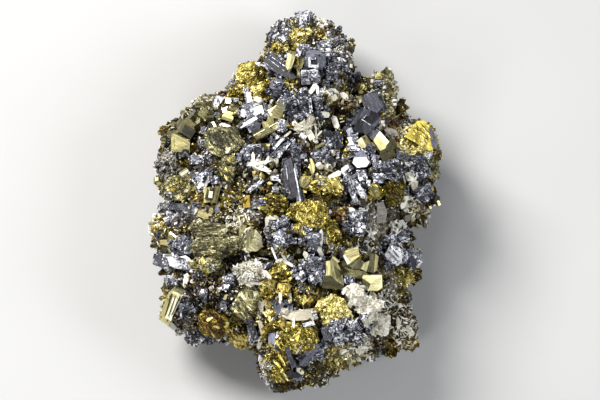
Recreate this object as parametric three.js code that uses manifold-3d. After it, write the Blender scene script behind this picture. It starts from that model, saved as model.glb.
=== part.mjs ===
// A cabinet specimen of chalcopyrite with galena, pyrite, calcite, sphalerite and quartz.
// One rock, the matrix, carries every crystal in a socket of its own. Millimetres, +Z up: the
// specimen rests on the flat foot of its matrix, and its display face looks up and towards -Y.

import * as THREE from "three";
import Module from "manifold-3d";
import { ConvexGeometry } from "three/addons/geometries/ConvexGeometry.js";
import { mergeVertices } from "three/addons/utils/BufferGeometryUtils.js";

const wasm = await Module();
wasm.setup();

// Driving dimensions

const DEGREE = Math.PI / 180;
const GRID_STEP = 0.25; // one step of the survey grid laid over the display face
const GRID_CENTRE = [300, 200]; // column and row of the grid where the face's middle lies
const FACE_ELEVATION = 65 * DEGREE; // of the display face's normal above the ground
const SEAT_GAP = 0.3; // between a crystal and its socket
const SUMMIT = 37; // height of the matrix's middle above its foot
const RIM_HEIGHT = 13.5; // of the matrix's widest line above its foot, on average
const RIM_WAVES = [
  { rise: 2.4, lobes: 3, phase: 0.7 },
  { rise: 1.6, lobes: 5, phase: 2.1 },
  { rise: 2.2, lobes: 1, phase: 0.2 },
];
const DOME_SWELL = 2.3; // how flat the top of the mound is
const DOME_SHOULDER = 0.72; // how steeply it ends at the rim
const ROUGHNESS = 0.8; // how far the ground's corners stray
const RIM_POINTS = 60;
const FOOT_POINTS = 30;
const TOP_RINGS = [
  { reach: 0.92, points: 60 },
  { reach: 0.8, points: 30 },
  { reach: 0.66, points: 30 },
  { reach: 0.51, points: 30 },
  { reach: 0.35, points: 15 },
  { reach: 0.18, points: 15 },
];
const UNDER_RINGS = [
  { reach: 0.965, height: 0.78 },
  { reach: 0.89, height: 0.5 },
  { reach: 0.79, height: 0.22 },
  { reach: 0.66, height: 0 }, // the flat foot
];

// The widest line of the specimen seen square to its display face: columns and rows of the grid,
// clockwise from the crown.
const OUTLINE = [
  [307, 11], [318, 13], [334, 21], [345, 34], [354, 41], [350, 50], [352, 72], [349, 81], [360, 79],
  [377, 75], [386, 71], [392, 77], [394, 92], [397, 107], [400, 117], [412, 118], [428, 124],
  [436, 136], [439, 149], [437, 166], [430, 181], [429, 195], [424, 205], [415, 216], [407, 224],
  [408, 240], [418, 262], [414, 274], [405, 286], [406, 303], [414, 320], [418, 341], [413, 349],
  [398, 351], [380, 348], [369, 352], [358, 365], [348, 362], [334, 375], [316, 383], [295, 385],
  [274, 389], [266, 382], [261, 364], [252, 347], [232, 341], [206, 341], [196, 341], [184, 332],
  [169, 325], [163, 314], [166, 298], [168, 285], [168, 274], [160, 266], [157, 255], [156, 245],
  [152, 233], [156, 222], [166, 213], [161, 195], [160, 178], [158, 165], [160, 152], [165, 138],
  [173, 124], [180, 113], [200, 102], [218, 93], [232, 81], [246, 68], [261, 60], [268, 50],
  [267, 40], [273, 25], [288, 18], [298, 14],
];

// Swells and hollows of the ground: column, row, reach and rise in millimetres.
const SWELLS = [
  [296, 42, 9, 5], [300, 130, 24, 4], [252, 86, 8, 4.5], [386, 80, 5, 4], [418, 142, 8, 5],
  [190, 130, 7, 3], [182, 190, 9, 3], [310, 216, 9, 2.5], [215, 240, 12, 3], [365, 262, 8, 2],
  [298, 352, 11, 6], [214, 322, 8, 4], [362, 305, 8, 4], [404, 335, 5, 3], [172, 300, 6, 2.5],
];
const HOLLOWS = [
  [334, 130, 4, -5], [306, 194, 2.5, -2.5], [229, 260, 3, -4], [216, 314, 3, -3], [198, 154, 4, -3],
  [387, 344, 5, -6], [262, 143, 3, -2.5], [355, 135, 3, -2], [396, 320, 5, -2],
];

// Minerals

const MINERALS = {
  matrix: new THREE.MeshStandardMaterial({ color: 0x3b352c, roughness: 0.75, metalness: 0.2 }),
  chalcopyrite: new THREE.MeshStandardMaterial({ color: 0xa98c32, roughness: 0.4, metalness: 0.9 }),
  galena: new THREE.MeshStandardMaterial({ color: 0x6e7087, roughness: 0.3, metalness: 0.9 }),
  pyrite: new THREE.MeshStandardMaterial({ color: 0xc8bd78, roughness: 0.25, metalness: 0.9 }),
  calcite: new THREE.MeshStandardMaterial({ color: 0xd7d4c0, roughness: 0.5, metalness: 0 }),
  quartz: new THREE.MeshStandardMaterial({ color: 0x8d8d90, roughness: 0.35, metalness: 0 }),
  sphalerite: new THREE.MeshStandardMaterial({ color: 0x3a2a22, roughness: 0.35, metalness: 0.4 }),
};

// Chance, the same on each run

let chanceState = 20261;

function chance() {
  chanceState = (chanceState + 0x6d2b79f5) | 0;
  let mixed = Math.imul(chanceState ^ (chanceState >>> 15), 1 | chanceState);
  mixed = (mixed + Math.imul(mixed ^ (mixed >>> 7), 61 | mixed)) ^ mixed;
  return ((mixed ^ (mixed >>> 14)) >>> 0) / 4294967296;
}

function between(low, high) {
  return low + (high - low) * chance();
}

// The ground of the matrix

const SINE = Math.sin(FACE_ELEVATION);
const COSINE = Math.cos(FACE_ELEVATION);

// Display face axes: across to the right, up the face, and out towards the viewer.
const FACE = new THREE.Matrix4().makeBasis(
  new THREE.Vector3(1, 0, 0),
  new THREE.Vector3(0, SINE, COSINE),
  new THREE.Vector3(0, -COSINE, SINE),
);

function onFace(column, row) {
  const across = (column - GRID_CENTRE[0]) * GRID_STEP;
  const up = (GRID_CENTRE[1] - row) * GRID_STEP;
  return new THREE.Vector2(across, up);
}

const outlineShape = new THREE.Shape(OUTLINE.map(([column, row]) => onFace(column, row)).reverse());
outlineShape.autoClose = true;
const RIM = outlineShape.getSpacedPoints(RIM_POINTS).slice(0, RIM_POINTS);

// How far from the middle the rim lies in the direction of a point.
function rimReach(point) {
  const far = point.clone().setLength(1);
  for (let i = 0; i < RIM_POINTS; i++) {
    const start = RIM[i];
    const edge = RIM[(i + 1) % RIM_POINTS].clone().sub(start);
    const cross = far.cross(edge);
    const along = start.cross(edge) / cross;
    const share = start.cross(far) / cross;
    if (along > 0 && share >= 0 && share <= 1) return along;
  }
  return far.length();
}

function rimHeight(point) {
  const angle = Math.atan2(point.y, point.x);
  return RIM_WAVES.reduce(
    (height, wave) => height + wave.rise * Math.sin(wave.lobes * angle + wave.phase),
    RIM_HEIGHT,
  );
}

function swellAt(point) {
  let rise = 0;
  for (const [column, row, reach, height] of [...SWELLS, ...HOLLOWS]) {
    const distance = point.distanceTo(onFace(column, row)) / reach;
    rise += height * Math.exp(-distance * distance);
  }
  return rise;
}

function groundHeight(point) {
  const rim = rimHeight(point);
  const outward = point.length() > 0 ? Math.min(point.length() / rimReach(point), 1) : 0;
  const dome = Math.pow(1 - Math.pow(outward, DOME_SWELL), DOME_SHOULDER);
  return rim + (SUMMIT - rim) * dome + swellAt(point) * Math.min(1, 4 * (1 - outward));
}

function depthOf(point, height) {
  return (height - COSINE * point.y) / SINE;
}

function inPart(point, height) {
  return new THREE.Vector3(point.x, point.y, depthOf(point, height)).applyMatrix4(FACE);
}

// Solids

function solid(geometry) {
  const bare = geometry.clone().deleteAttribute("normal").deleteAttribute("uv");
  const merged = mergeVertices(bare, 1e-4);
  return new wasm.Manifold(
    new wasm.Mesh({
      numProp: 3,
      vertProperties: new Float32Array(merged.attributes.position.array),
      triVerts: new Uint32Array(merged.index.array),
    }),
  );
}

function geometryOf(body) {
  const mesh = body.getMesh();
  return new THREE.BufferGeometry()
    .setAttribute("position", new THREE.BufferAttribute(mesh.vertProperties, 3))
    .setIndex(new THREE.BufferAttribute(mesh.triVerts, 1))
    .toNonIndexed();
}

function joined(bodies) {
  return bodies.reduce((whole, body) => whole.add(body));
}

function largest(body) {
  return body.decompose().reduce((best, piece) => (piece.volume() > best.volume() ? piece : best));
}

// The matrix: rings of ground from the rim to the middle, and an underside that draws in to the foot

function stitch(outer, inner) {
  const faces = [];
  const ratio = outer.length / inner.length;
  inner.forEach((corner, i) => {
    const next = inner[(i + 1) % inner.length];
    for (let k = 0; k < ratio; k++) {
      const here = outer[(i * ratio + k) % outer.length];
      const after = outer[(i * ratio + k + 1) % outer.length];
      faces.push([here, after, k < ratio / 2 ? corner : next]);
      if (k + 1 === Math.ceil(ratio / 2)) faces.push([corner, after, next]);
    }
  });
  return faces;
}

function strayed(point) {
  return point.clone().add(new THREE.Vector2(between(-1, 1), between(-1, 1)).multiplyScalar(ROUGHNESS));
}

function matrixMound() {
  const corners = [];
  const ring = (points) => points.map((point) => corners.push(point) - 1);
  const rimCorners = RIM.map((point) => inPart(point, rimHeight(point)));
  const rim = ring(rimCorners);
  const faces = [];

  let outer = rim;
  for (const { reach, points } of TOP_RINGS) {
    const every = RIM_POINTS / points;
    const inner = ring(
      RIM.filter((_, i) => i % every === 0).map((point) => {
        const spot = strayed(point.clone().multiplyScalar(reach));
        return inPart(spot, groundHeight(spot) + between(-ROUGHNESS, ROUGHNESS));
      }),
    );
    faces.push(...stitch(outer, inner));
    outer = inner;
  }
  const middle = new THREE.Vector2();
  const [top] = ring([inPart(middle, groundHeight(middle))]);
  outer.forEach((corner, i) => faces.push([corner, outer[(i + 1) % outer.length], top]));

  const centre = rimCorners.reduce((sum, corner) => sum.add(corner), new THREE.Vector3());
  centre.divideScalar(RIM_POINTS);
  const footCorners = rimCorners.filter((_, i) => i % (RIM_POINTS / FOOT_POINTS) === 0);
  outer = rim;
  for (const { reach, height } of UNDER_RINGS) {
    const inner = ring(
      footCorners.map((corner) => {
        const drawnIn = reach * (height > 0 ? between(0.95, 1.01) : 1);
        return new THREE.Vector3(
          centre.x + (corner.x - centre.x) * drawnIn,
          centre.y + (corner.y - centre.y) * drawnIn,
          corner.z * height * between(0.9, 1.1),
        );
      }),
    );
    faces.push(...stitch(outer, inner).map((face) => face.reverse()));
    outer = inner;
  }
  const [foot] = ring([new THREE.Vector3(centre.x, centre.y, 0)]);
  outer.forEach((corner, i) => faces.push([outer[(i + 1) % outer.length], corner, foot]));

  const geometry = new THREE.BufferGeometry().setFromPoints(corners);
  geometry.setIndex(faces.flat());
  return solid(geometry);
}

// Crystals: each shape is a body and the socket that leaves SEAT_GAP all round it

function facePose(column, row, lift, turn) {
  const point = onFace(column, row);
  const depth = depthOf(point, groundHeight(point)) + lift;
  return FACE.clone()
    .multiply(new THREE.Matrix4().makeTranslation(point.x, point.y, depth))
    .multiply(new THREE.Matrix4().makeRotationFromEuler(turn));
}

function shaped(body, socket, pose) {
  return {
    body: solid(body.applyMatrix4(pose)),
    socket: solid(socket.applyMatrix4(pose)),
    centre: new THREE.Vector3().setFromMatrixPosition(pose),
  };
}

const SEATING = 0.22; // how far a block's middle stands above the ground, as a share of its depth
const LEAN = 14; // degrees a block may lean where no lean is given

function anyLean() {
  return [between(-LEAN, LEAN), between(-LEAN, LEAN)];
}

function withSeat(size) {
  return size.map((length) => length + 2 * SEAT_GAP);
}

// A cube, slab or stub: size is width, height and depth, spin turns it on the face, and tip leans it.
function block(column, row, size, { spin = 0, tip, lift } = {}) {
  const [leanUp, leanAcross] = tip ?? anyLean();
  const turn = new THREE.Euler(leanUp * DEGREE, leanAcross * DEGREE, spin * DEGREE, "XYZ");
  const pose = facePose(column, row, lift ?? size[2] * SEATING, turn);
  return shaped(new THREE.BoxGeometry(...size), new THREE.BoxGeometry(...withSeat(size)), pose);
}

const TERRACE = [0.62, 0.7, 0.5]; // of the size of the cube that it stands on
const TERRACE_RISE = 0.36; // of that cube's depth, from middle to middle

// A cube with a smaller terrace on its upper face, as galena grows.
function steppedBlock(column, row, size, options = {}) {
  const tip = options.tip ?? anyLean();
  const lift = options.lift ?? size[2] * SEATING;
  const terrace = size.map((length, axis) => length * TERRACE[axis]);
  return [
    block(column, row, size, { ...options, tip, lift }),
    block(column, row, terrace, { ...options, tip, lift: lift + size[2] * TERRACE_RISE }),
  ];
}

// A bar, rod or blade that lies along the ground from one grid point to another.
function bar(from, to, width, thickness, { lift = thickness * 0.3, roll = 0 } = {}) {
  const ends = [from, to].map(([column, row]) => {
    const point = onFace(column, row);
    return new THREE.Vector3(point.x, point.y, depthOf(point, groundHeight(point)) + lift);
  });
  const along = ends[1].clone().sub(ends[0]);
  const length = along.length();
  along.normalize();
  const side = new THREE.Vector3(0, 0, 1).cross(along).normalize();
  const pose = FACE.clone()
    .multiply(new THREE.Matrix4().makeTranslation(ends[0].add(ends[1]).multiplyScalar(0.5)))
    .multiply(new THREE.Matrix4().makeBasis(along, side, along.clone().cross(side)))
    .multiply(new THREE.Matrix4().makeRotationX(roll * DEGREE));
  const size = [length, width, thickness];
  return shaped(new THREE.BoxGeometry(...size), new THREE.BoxGeometry(...withSeat(size)), pose);
}

function hull(points) {
  return new ConvexGeometry(points);
}

// The distance from the origin to the nearest face of a convex geometry round it.
function innerRadius(geometry) {
  const position = geometry.attributes.position;
  const plane = new THREE.Plane();
  const [a, b, c] = [new THREE.Vector3(), new THREE.Vector3(), new THREE.Vector3()];
  let nearest = Infinity;
  for (let i = 0; i < position.count; i += 3) {
    a.fromBufferAttribute(position, i);
    b.fromBufferAttribute(position, i + 1);
    c.fromBufferAttribute(position, i + 2);
    plane.setFromCoplanarPoints(a, b, c);
    nearest = Math.min(nearest, Math.abs(plane.constant));
  }
  return nearest;
}

const GOLDEN_ANGLE = Math.PI * (3 - Math.sqrt(5));

function roughPoints(size, count) {
  const points = [];
  for (let i = 0; i < count; i++) {
    const height = 1 - (2 * (i + 0.5)) / count;
    const radius = Math.sqrt(1 - height * height);
    const angle = i * GOLDEN_ANGLE + between(-0.35, 0.35);
    const reach = between(0.5, 0.62);
    points.push(
      new THREE.Vector3(
        Math.cos(angle) * radius * size[0] * reach,
        Math.sin(angle) * radius * size[1] * reach,
        height * size[2] * reach,
      ),
    );
  }
  return points;
}

// A rough crystal without good faces: size is its width, height and depth.
function lump(column, row, size, { spin = 0, lift = 1, corners = 9 } = {}) {
  const body = hull(roughPoints(size, corners));
  const growth = 1 + (1.15 * SEAT_GAP) / innerRadius(body);
  const socket = body.clone().scale(growth, growth, growth);
  const turn = new THREE.Euler(0, 0, spin * DEGREE);
  return shaped(body, socket, facePose(column, row, lift, turn));
}

// Thin blades crossing at one point, as calcite rosettes grow: each is a reach, a direction and a width.
function rosette(column, row, blades, thickness) {
  return blades.map(([reach, direction, width]) => {
    const dx = Math.cos(direction * DEGREE) * reach;
    const dy = -Math.sin(direction * DEGREE) * reach;
    const from = [column - (0.3 * dx) / GRID_STEP, row - (0.3 * dy) / GRID_STEP];
    const to = [column + (0.7 * dx) / GRID_STEP, row + (0.7 * dy) / GRID_STEP];
    return bar(from, to, width, thickness, { lift: thickness * 0.55 });
  });
}

// The root in which the shapes of one intergrown crystal group meet, below the ground.
const ROOT_DEPTH = 2.2;
const ROOT_RADIUS = 0.9;
const ROOT_SOCKET_RADIUS = ROOT_RADIUS + 3 * SEAT_GAP;

function rootHull(centres, radius) {
  const inward = new THREE.Vector3(0, 0, -ROOT_DEPTH).transformDirection(FACE).multiplyScalar(ROOT_DEPTH);
  const knobs = centres.flatMap((centre) => {
    const deep = centre.clone().add(inward);
    const around = [0, 1, 2].map((third) => {
      const angle = (third * 2 * Math.PI) / 3;
      return deep.clone().add(new THREE.Vector3(Math.cos(angle), Math.sin(angle), 0).multiplyScalar(radius));
    });
    return [centre.clone().addScaledVector(inward, -0.1), ...around];
  });
  return solid(hull(knobs));
}

// Growing: a crystal group is cut by the sockets of those grown before it

const specimen = new THREE.Group();
const sockets = [];

function grow(name, mineral, shapes) {
  const parts = shapes.flat();
  let body = joined(parts.map((part) => part.body));
  let socket = joined(parts.map((part) => part.socket));
  if (body.decompose().length > 1) {
    const centres = parts.map((part) => part.centre);
    body = body.add(rootHull(centres, ROOT_RADIUS));
    socket = socket.add(rootHull(centres, ROOT_SOCKET_RADIUS));
  }
  for (const earlier of sockets) body = body.subtract(earlier);
  sockets.push(socket);
  addMesh(name, mineral, largest(body));
}

function addMesh(name, mineral, body) {
  const mesh = new THREE.Mesh(geometryOf(body), MINERALS[mineral]);
  mesh.name = name;
  specimen.add(mesh);
}

// Pyrite: cubes and striated bars

grow("pyrite_left_cube", "pyrite", [
  block(187, 128, [3.6, 3.6, 3.8], { spin: -36, tip: [-8, 6], lift: 1.6 }),
  block(181, 143, [4.9, 3.6, 3.6], { spin: -1, tip: [22, -4], lift: 1.2 }),
]);
grow("pyrite_striated_bar", "pyrite", [
  bar([179, 291], [167, 319], 3.2, 3.4, { lift: 2.4, roll: 14 }),
]);
grow("pyrite_right_cubes", "pyrite", [
  block(381, 142, [3.0, 3.0, 3.4], { spin: 47, tip: [6, 4], lift: 2.4 }),
  block(385, 152, [3.9, 3.9, 3.6], { spin: 42, tip: [30, 8], lift: 0.4 }),
  block(362, 143, [2.2, 2.6, 2.6], { spin: 12, lift: 1.2 }),
]);
grow("pyrite_wedge_and_cubes", "pyrite", [
  block(333, 271, [4.4, 4.8, 4.4], { spin: 46, tip: [8, -28], lift: 1.8 }),
  block(352, 255, [3.5, 3.2, 3.2], { spin: 24, tip: [-6, -10], lift: 2.0 }),
  block(365, 262, [4.3, 3.7, 3.6], { spin: 30, tip: [16, 14], lift: 1.0 }),
  block(373, 281, [4.5, 3.6, 3.2], { spin: 4, tip: [8, 0], lift: 1.8 }),
]);
grow("pyrite_slab", "pyrite", [
  bar([255, 137], [284, 121], 1.7, 3.6, { lift: 1.4, roll: 12 }),
  block(278, 113, [3.4, 4.1, 3.6], { spin: 30, tip: [10, -12], lift: 1.2 }),
]);
grow("pyrite_cream_bar", "pyrite", [
  bar([292, 54], [288, 70], 1.5, 2.2, { lift: 1.6 }),
]);
grow("pyrite_left_stubs", "pyrite", [
  bar([211, 188], [208, 200], 1.5, 2.2, { lift: 1.0 }),
  bar([218, 187], [214, 204], 1.5, 2.6, { lift: 0.5 }),
]);

// Galena: stepped cubes, slabs, blades and rods

grow("galena_crown_tip", "galena", [
  block(304, 17, [3.8, 3.2, 4.0], { spin: 14, lift: 1.2 }),
]);
grow("galena_crown_plate", "galena", [
  block(277, 66, [6.4, 3.9, 3.6], { spin: -38, tip: [12, -8], lift: 1.2 }),
]);
grow("galena_crown_steps", "galena", [
  steppedBlock(314, 60, [4.4, 4.6, 4.4], { spin: -4, tip: [4, 4], lift: 1.6 }),
  block(311, 77, [4.4, 3.6, 3.8], { spin: 12, lift: 1.0 }),
  block(331, 69, [3.2, 6.0, 3.8], { spin: -6, lift: 0.8 }),
]);
grow("galena_collar", "galena", [
  block(296, 106, [5.6, 4.8, 4.4], { spin: 18, lift: 0.8 }),
  bar([314, 92], [314, 120], 2.2, 2.2, { lift: 0.4 }),
  block(277, 88, [3.0, 4.4, 3.6], { spin: -28, tip: [-16, 6], lift: 1.3 }),
]);
grow("galena_flash_cluster", "galena", [
  block(256, 110, [5.0, 4.0, 4.0], { spin: 20, tip: [-10, -6], lift: 1.2 }),
  bar([240, 127], [263, 116], 1.6, 3.0, { lift: 1.6 }),
  bar([246, 91], [252, 109], 1.5, 2.6, { lift: 1.6 }),
  block(254, 126, [2.8, 2.6, 3.0], { spin: 22, lift: 0.9 }),
]);
grow("galena_skeletal_cube", "galena", [
  steppedBlock(366, 121, [5.2, 4.8, 5.0], { spin: -41, tip: [-10, 8], lift: 1.9 }),
  block(350, 131, [2.8, 2.6, 3.4], { spin: -38, lift: 0.8 }),
  block(374, 104, [4.4, 5.4, 3.6], { spin: 24, tip: [-14, 10], lift: 0.9 }),
]);
grow("galena_white_flash", "galena", [
  block(361, 161, [3.8, 3.2, 3.6], { spin: 14, tip: [-10, 4], lift: 1.6 }),
  bar([349, 146], [368, 158], 2.0, 2.8, { lift: 1.2 }),
  block(377, 173, [4.2, 3.4, 3.6], { spin: 28, lift: 0.8 }),
]);
grow("galena_right_edge", "galena", [
  block(419, 167, [4.6, 5.0, 4.4], { spin: 22, lift: 1.0 }),
  block(421, 191, [4.2, 4.2, 4.0], { spin: 12, lift: 0.8 }),
]);
grow("galena_hollow_wall", "galena", [
  block(331, 143, [4.6, 5.2, 4.4], { spin: -12, lift: 1.4 }),
  block(321, 157, [3.8, 3.6, 3.6], { spin: 20, lift: 0.6 }),
]);
grow("galena_blades", "galena", [
  bar([273, 150], [284, 138], 1.0, 2.6, { lift: 1.4 }),
  bar([270, 158], [291, 142], 1.1, 2.6, { lift: 1.2 }),
]);
grow("galena_star_seat", "galena", [
  block(253, 153, [4.2, 3.9, 3.6], { spin: 4, tip: [-4, 4], lift: 0.9 }),
]);
grow("galena_finger", "galena", [
  bar([291, 162], [292, 197], 3.9, 4.0, { lift: 1.6, roll: -16 }),
  bar([294, 166], [301, 204], 1.5, 2.8, { lift: 2.2 }),
]);
grow("galena_stripes", "galena", [
  bar([344, 173], [356, 203], 1.4, 3.0, { lift: 1.0 }),
  bar([351, 178], [364, 197], 1.5, 3.0, { lift: 1.6 }),
]);
grow("galena_pillow", "galena", [
  block(355, 223, [5.0, 5.2, 4.6], { spin: -14, tip: [-6, 2], lift: 1.3 }),
]);
grow("galena_left_prism", "galena", [
  bar([197, 184], [212, 173], 3.2, 3.4, { lift: 1.0 }),
]);
grow("galena_left_bar", "galena", [
  bar([164, 206], [190, 207], 1.7, 3.0, { lift: 0.7 }),
]);
grow("galena_rod", "galena", [
  bar([249, 192], [264, 180], 1.0, 2.8, { lift: 0.8 }),
]);
grow("galena_centre", "galena", [
  block(281, 234, [4.8, 5.6, 4.4], { spin: 24, lift: 1.1 }),
  block(312, 238, [4.4, 3.8, 4.0], { spin: -28, lift: 1.0 }),
]);
grow("galena_sponge", "galena", [
  block(317, 270, [4.6, 5.0, 4.4], { spin: -20, lift: 1.1 }),
  block(301, 272, [3.4, 3.2, 3.6], { spin: 30, lift: 0.7 }),
]);
grow("galena_striped_cube", "galena", [
  block(393, 256, [4.2, 3.6, 4.2], { spin: -34, tip: [-6, 2], lift: 1.7 }),
  bar([387, 239], [405, 254], 1.6, 3.4, { lift: 0.9 }),
  block(411, 259, [3.8, 4.6, 4.0], { spin: -28, lift: 0.6 }),
]);
grow("galena_left_skeletal", "galena", [
  steppedBlock(186, 247, [4.8, 4.4, 4.2], { spin: -24, lift: 1.2 }),
]);
grow("galena_left_cubelet", "galena", [
  block(160, 260, [2.5, 2.8, 2.8], { spin: -30, lift: 0.9 }),
]);
grow("galena_bright_slab", "galena", [
  bar([167, 259], [192, 264], 2.6, 2.6, { lift: 1.8, roll: 10 }),
]);
grow("galena_post", "galena", [
  bar([251, 317], [254, 341], 2.0, 2.6, { lift: 1.4 }),
]);
grow("galena_low_centre", "galena", [
  block(281, 306, [4.0, 3.4, 3.6], { spin: 26, lift: 0.9 }),
]);
grow("galena_low_right", "galena", [
  block(330, 332, [3.6, 4.2, 4.0], { spin: 8, lift: 0.8 }),
  block(344, 325, [4.0, 3.6, 3.8], { spin: 30, lift: 0.8 }),
  block(359, 327, [3.6, 5.4, 3.8], { spin: -34, lift: 0.5 }),
]);
grow("galena_toe", "galena", [
  block(313, 349, [4.8, 3.2, 2.4], { spin: 4, tip: [-6, 2], lift: 1.8 }),
  bar([312, 352], [301, 364], 1.9, 2.2, { lift: 1.6 }),
  bar([288, 344], [291, 370], 1.3, 2.8, { lift: 1.6 }),
  block(295, 372, [4.2, 2.8, 2.8], { spin: -12, lift: 1.2 }),
]);

// Calcite: crusts, rosettes and blades; quartz and sphalerite masses

grow("calcite_large_crust", "calcite", [
  lump(354, 293, [6.0, 4.6, 3.4], { spin: -30, lift: 1.6 }),
  lump(367, 307, [7.0, 6.4, 3.6], { spin: -46, lift: 1.6 }),
  lump(379, 323, [5.8, 6.2, 3.6], { spin: -40, lift: 1.4 }),
]);
grow("calcite_left_crust", "calcite", [
  lump(250, 273, [7.8, 5.6, 3.6], { spin: -12, lift: 1.4 }),
  bar([258, 266], [272, 279], 1.3, 1.6, { lift: 2.2 }),
]);
grow("calcite_star_left", "calcite", [
  rosette(258, 164, [[6.6, 8, 1.2], [5.4, 262, 1.1], [6.0, 325, 1.1]], 1.3),
]);
grow("calcite_star_top", "calcite", [
  rosette(306, 128, [[4.8, 60, 1.7], [5.2, 300, 1.6], [4.2, 175, 1.8]], 1.6),
]);
grow("calcite_flat_blade", "calcite", [
  bar([282, 315], [315, 311], 2.0, 1.1, { lift: 2.6 }),
]);
grow("quartz_left_mass", "quartz", [
  lump(169, 163, [7.2, 7.0, 6.0], { lift: 1.0 }),
]);
grow("sphalerite_wall", "sphalerite", [
  lump(342, 219, [4.6, 6.4, 4.4], { lift: 0.6 }),
]);

// Chalcopyrite: rough golden masses

grow("chalcopyrite_crown", "chalcopyrite", [
  lump(294, 39, [6.8, 6.4, 5.6], { lift: 1.2 }),
  lump(281, 49, [4.6, 3.8, 4.4], { lift: 0.8 }),
]);
grow("chalcopyrite_shoulder", "chalcopyrite", [
  lump(252, 82, [9.6, 9.6, 8.4], { spin: 20, lift: 1.8, corners: 12 }),
  lump(264, 95, [5.4, 6.0, 5.4], { lift: 0.8 }),
  lump(241, 94, [6.2, 6.4, 5.4], { lift: 0.6 }),
]);
grow("chalcopyrite_peak", "chalcopyrite", [
  lump(385, 79, [4.6, 5.6, 5.0], { lift: 0.8 }),
  lump(388, 100, [4.6, 11.0, 6.0], { lift: 0.6 }),
]);
grow("chalcopyrite_wing", "chalcopyrite", [
  lump(418, 140, [9.6, 8.8, 8.4], { spin: -35, lift: 1.6, corners: 12 }),
]);
grow("chalcopyrite_inner_ridge", "chalcopyrite", [
  lump(334, 188, [4.8, 4.6, 4.4], { lift: 1.0 }),
  lump(321, 190, [5.8, 6.2, 5.0], { spin: 40, lift: 0.6 }),
  lump(305, 183, [3.6, 3.8, 3.6], { lift: 1.6 }),
]);
grow("chalcopyrite_heart", "chalcopyrite", [
  lump(309, 214, [9.6, 7.8, 7.0], { lift: 1.2, corners: 12 }),
  lump(328, 231, [6.4, 5.8, 5.2], { lift: 0.6 }),
]);
grow("chalcopyrite_right_dark", "chalcopyrite", [
  lump(391, 193, [6.8, 6.0, 5.4], { lift: 0.8 }),
  lump(373, 192, [3.8, 4.0, 4.2], { lift: 0.8 }),
]);
grow("chalcopyrite_right_edge", "chalcopyrite", [
  lump(431, 170, [3.8, 6.2, 4.6], { lift: 0.4 }),
]);
grow("chalcopyrite_left_patch", "chalcopyrite", [
  lump(180, 188, [10.4, 6.6, 5.6], { lift: 0.8, corners: 11 }),
]);
grow("chalcopyrite_striated_dome", "chalcopyrite", [
  lump(225, 143, [10.6, 8.6, 7.2], { spin: -40, lift: 1.2, corners: 12 }),
  lump(227, 174, [5.2, 4.4, 4.6], { lift: 1.5 }),
  lump(229, 161, [4.0, 3.2, 3.6], { lift: 0.9 }),
]);
grow("chalcopyrite_olive_flank", "chalcopyrite", [
  lump(212, 230, [11.6, 5.4, 5.2], { spin: -4, lift: 1.0, corners: 11 }),
  lump(217, 246, [13.0, 5.6, 5.6], { spin: 6, lift: 1.2, corners: 11 }),
  lump(250, 241, [5.4, 6.2, 4.6], { lift: 1.0 }),
  lump(209, 264, [9.4, 4.6, 4.8], { lift: 1.0 }),
]);
grow("chalcopyrite_centre_left", "chalcopyrite", [
  lump(274, 205, [6.4, 6.0, 4.8], { lift: 0.8 }),
]);
grow("chalcopyrite_olive_mass", "chalcopyrite", [
  lump(248, 301, [7.2, 9.0, 6.0], { lift: 1.2, corners: 11 }),
]);
grow("chalcopyrite_ridge", "chalcopyrite", [
  lump(281, 275, [6.6, 5.8, 5.0], { lift: 1.0 }),
  lump(271, 287, [5.6, 5.0, 4.6], { lift: 0.6 }),
]);
grow("chalcopyrite_right_knob", "chalcopyrite", [
  lump(400, 276, [6.6, 4.4, 4.8], { lift: 1.0 }),
]);
grow("chalcopyrite_lower_left", "chalcopyrite", [
  lump(215, 322, [8.4, 8.0, 6.8], { lift: 1.0, corners: 11 }),
  lump(241, 336, [6.4, 5.8, 5.2], { lift: 0.8 }),
]);
grow("chalcopyrite_glitter", "chalcopyrite", [
  lump(332, 309, [9.2, 7.4, 5.8], { spin: -14, lift: 1.5, corners: 11 }),
]);
grow("chalcopyrite_toe", "chalcopyrite", [
  lump(298, 336, [11.0, 7.4, 6.4], { spin: 14, lift: 1.2, corners: 11 }),
  lump(281, 361, [8.0, 9.0, 6.6], { lift: 1.2, corners: 11 }),
]);

// The matrix takes the small fused crystals, loses the sockets, and ends flat at the foot

const RIM_ROCKS = 12;
const FLANK_ROCKS = 6;
const TOP_ROCKS = 2;
const ROCK_CORNERS = 8;

function looseRock(centre, radius) {
  const points = roughPoints([2 * radius, 2 * radius, 2 * radius], ROCK_CORNERS);
  return solid(hull(points).translate(centre.x, centre.y, centre.z));
}

function fusedRocks() {
  const rocks = [];
  for (let i = 0; i < RIM_ROCKS; i++) {
    const point = RIM[Math.floor((i * RIM_POINTS) / RIM_ROCKS)].clone().multiplyScalar(0.93);
    rocks.push(looseRock(inPart(point, rimHeight(point) + between(-1, 1.5)), between(3.0, 4.4)));
  }
  for (let i = 0; i < FLANK_ROCKS; i++) {
    const rim = RIM[Math.floor(((i + 0.5) * RIM_POINTS) / FLANK_ROCKS)];
    const corner = inPart(rim.clone().multiplyScalar(0.82), rimHeight(rim));
    corner.z *= between(0.4, 0.7);
    rocks.push(looseRock(corner, between(4.5, 6.5)));
  }
  for (let i = 0; i < TOP_ROCKS; i++) {
    const point = RIM[Math.floor(chance() * RIM_POINTS)].clone().multiplyScalar(between(0.25, 0.88));
    rocks.push(looseRock(inPart(point, groundHeight(point) - 0.4), between(2.2, 3.4)));
  }
  return joined(rocks);
}

function belowFoot() {
  const side = 200;
  return solid(new THREE.BoxGeometry(side, side, side).translate(0, 0, -side / 2));
}

function matrixBody() {
  let body = matrixMound().add(fusedRocks());
  for (const socket of sockets) body = body.subtract(socket);
  return largest(body.subtract(belowFoot()));
}

addMesh("matrix", "matrix", matrixBody());

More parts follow.
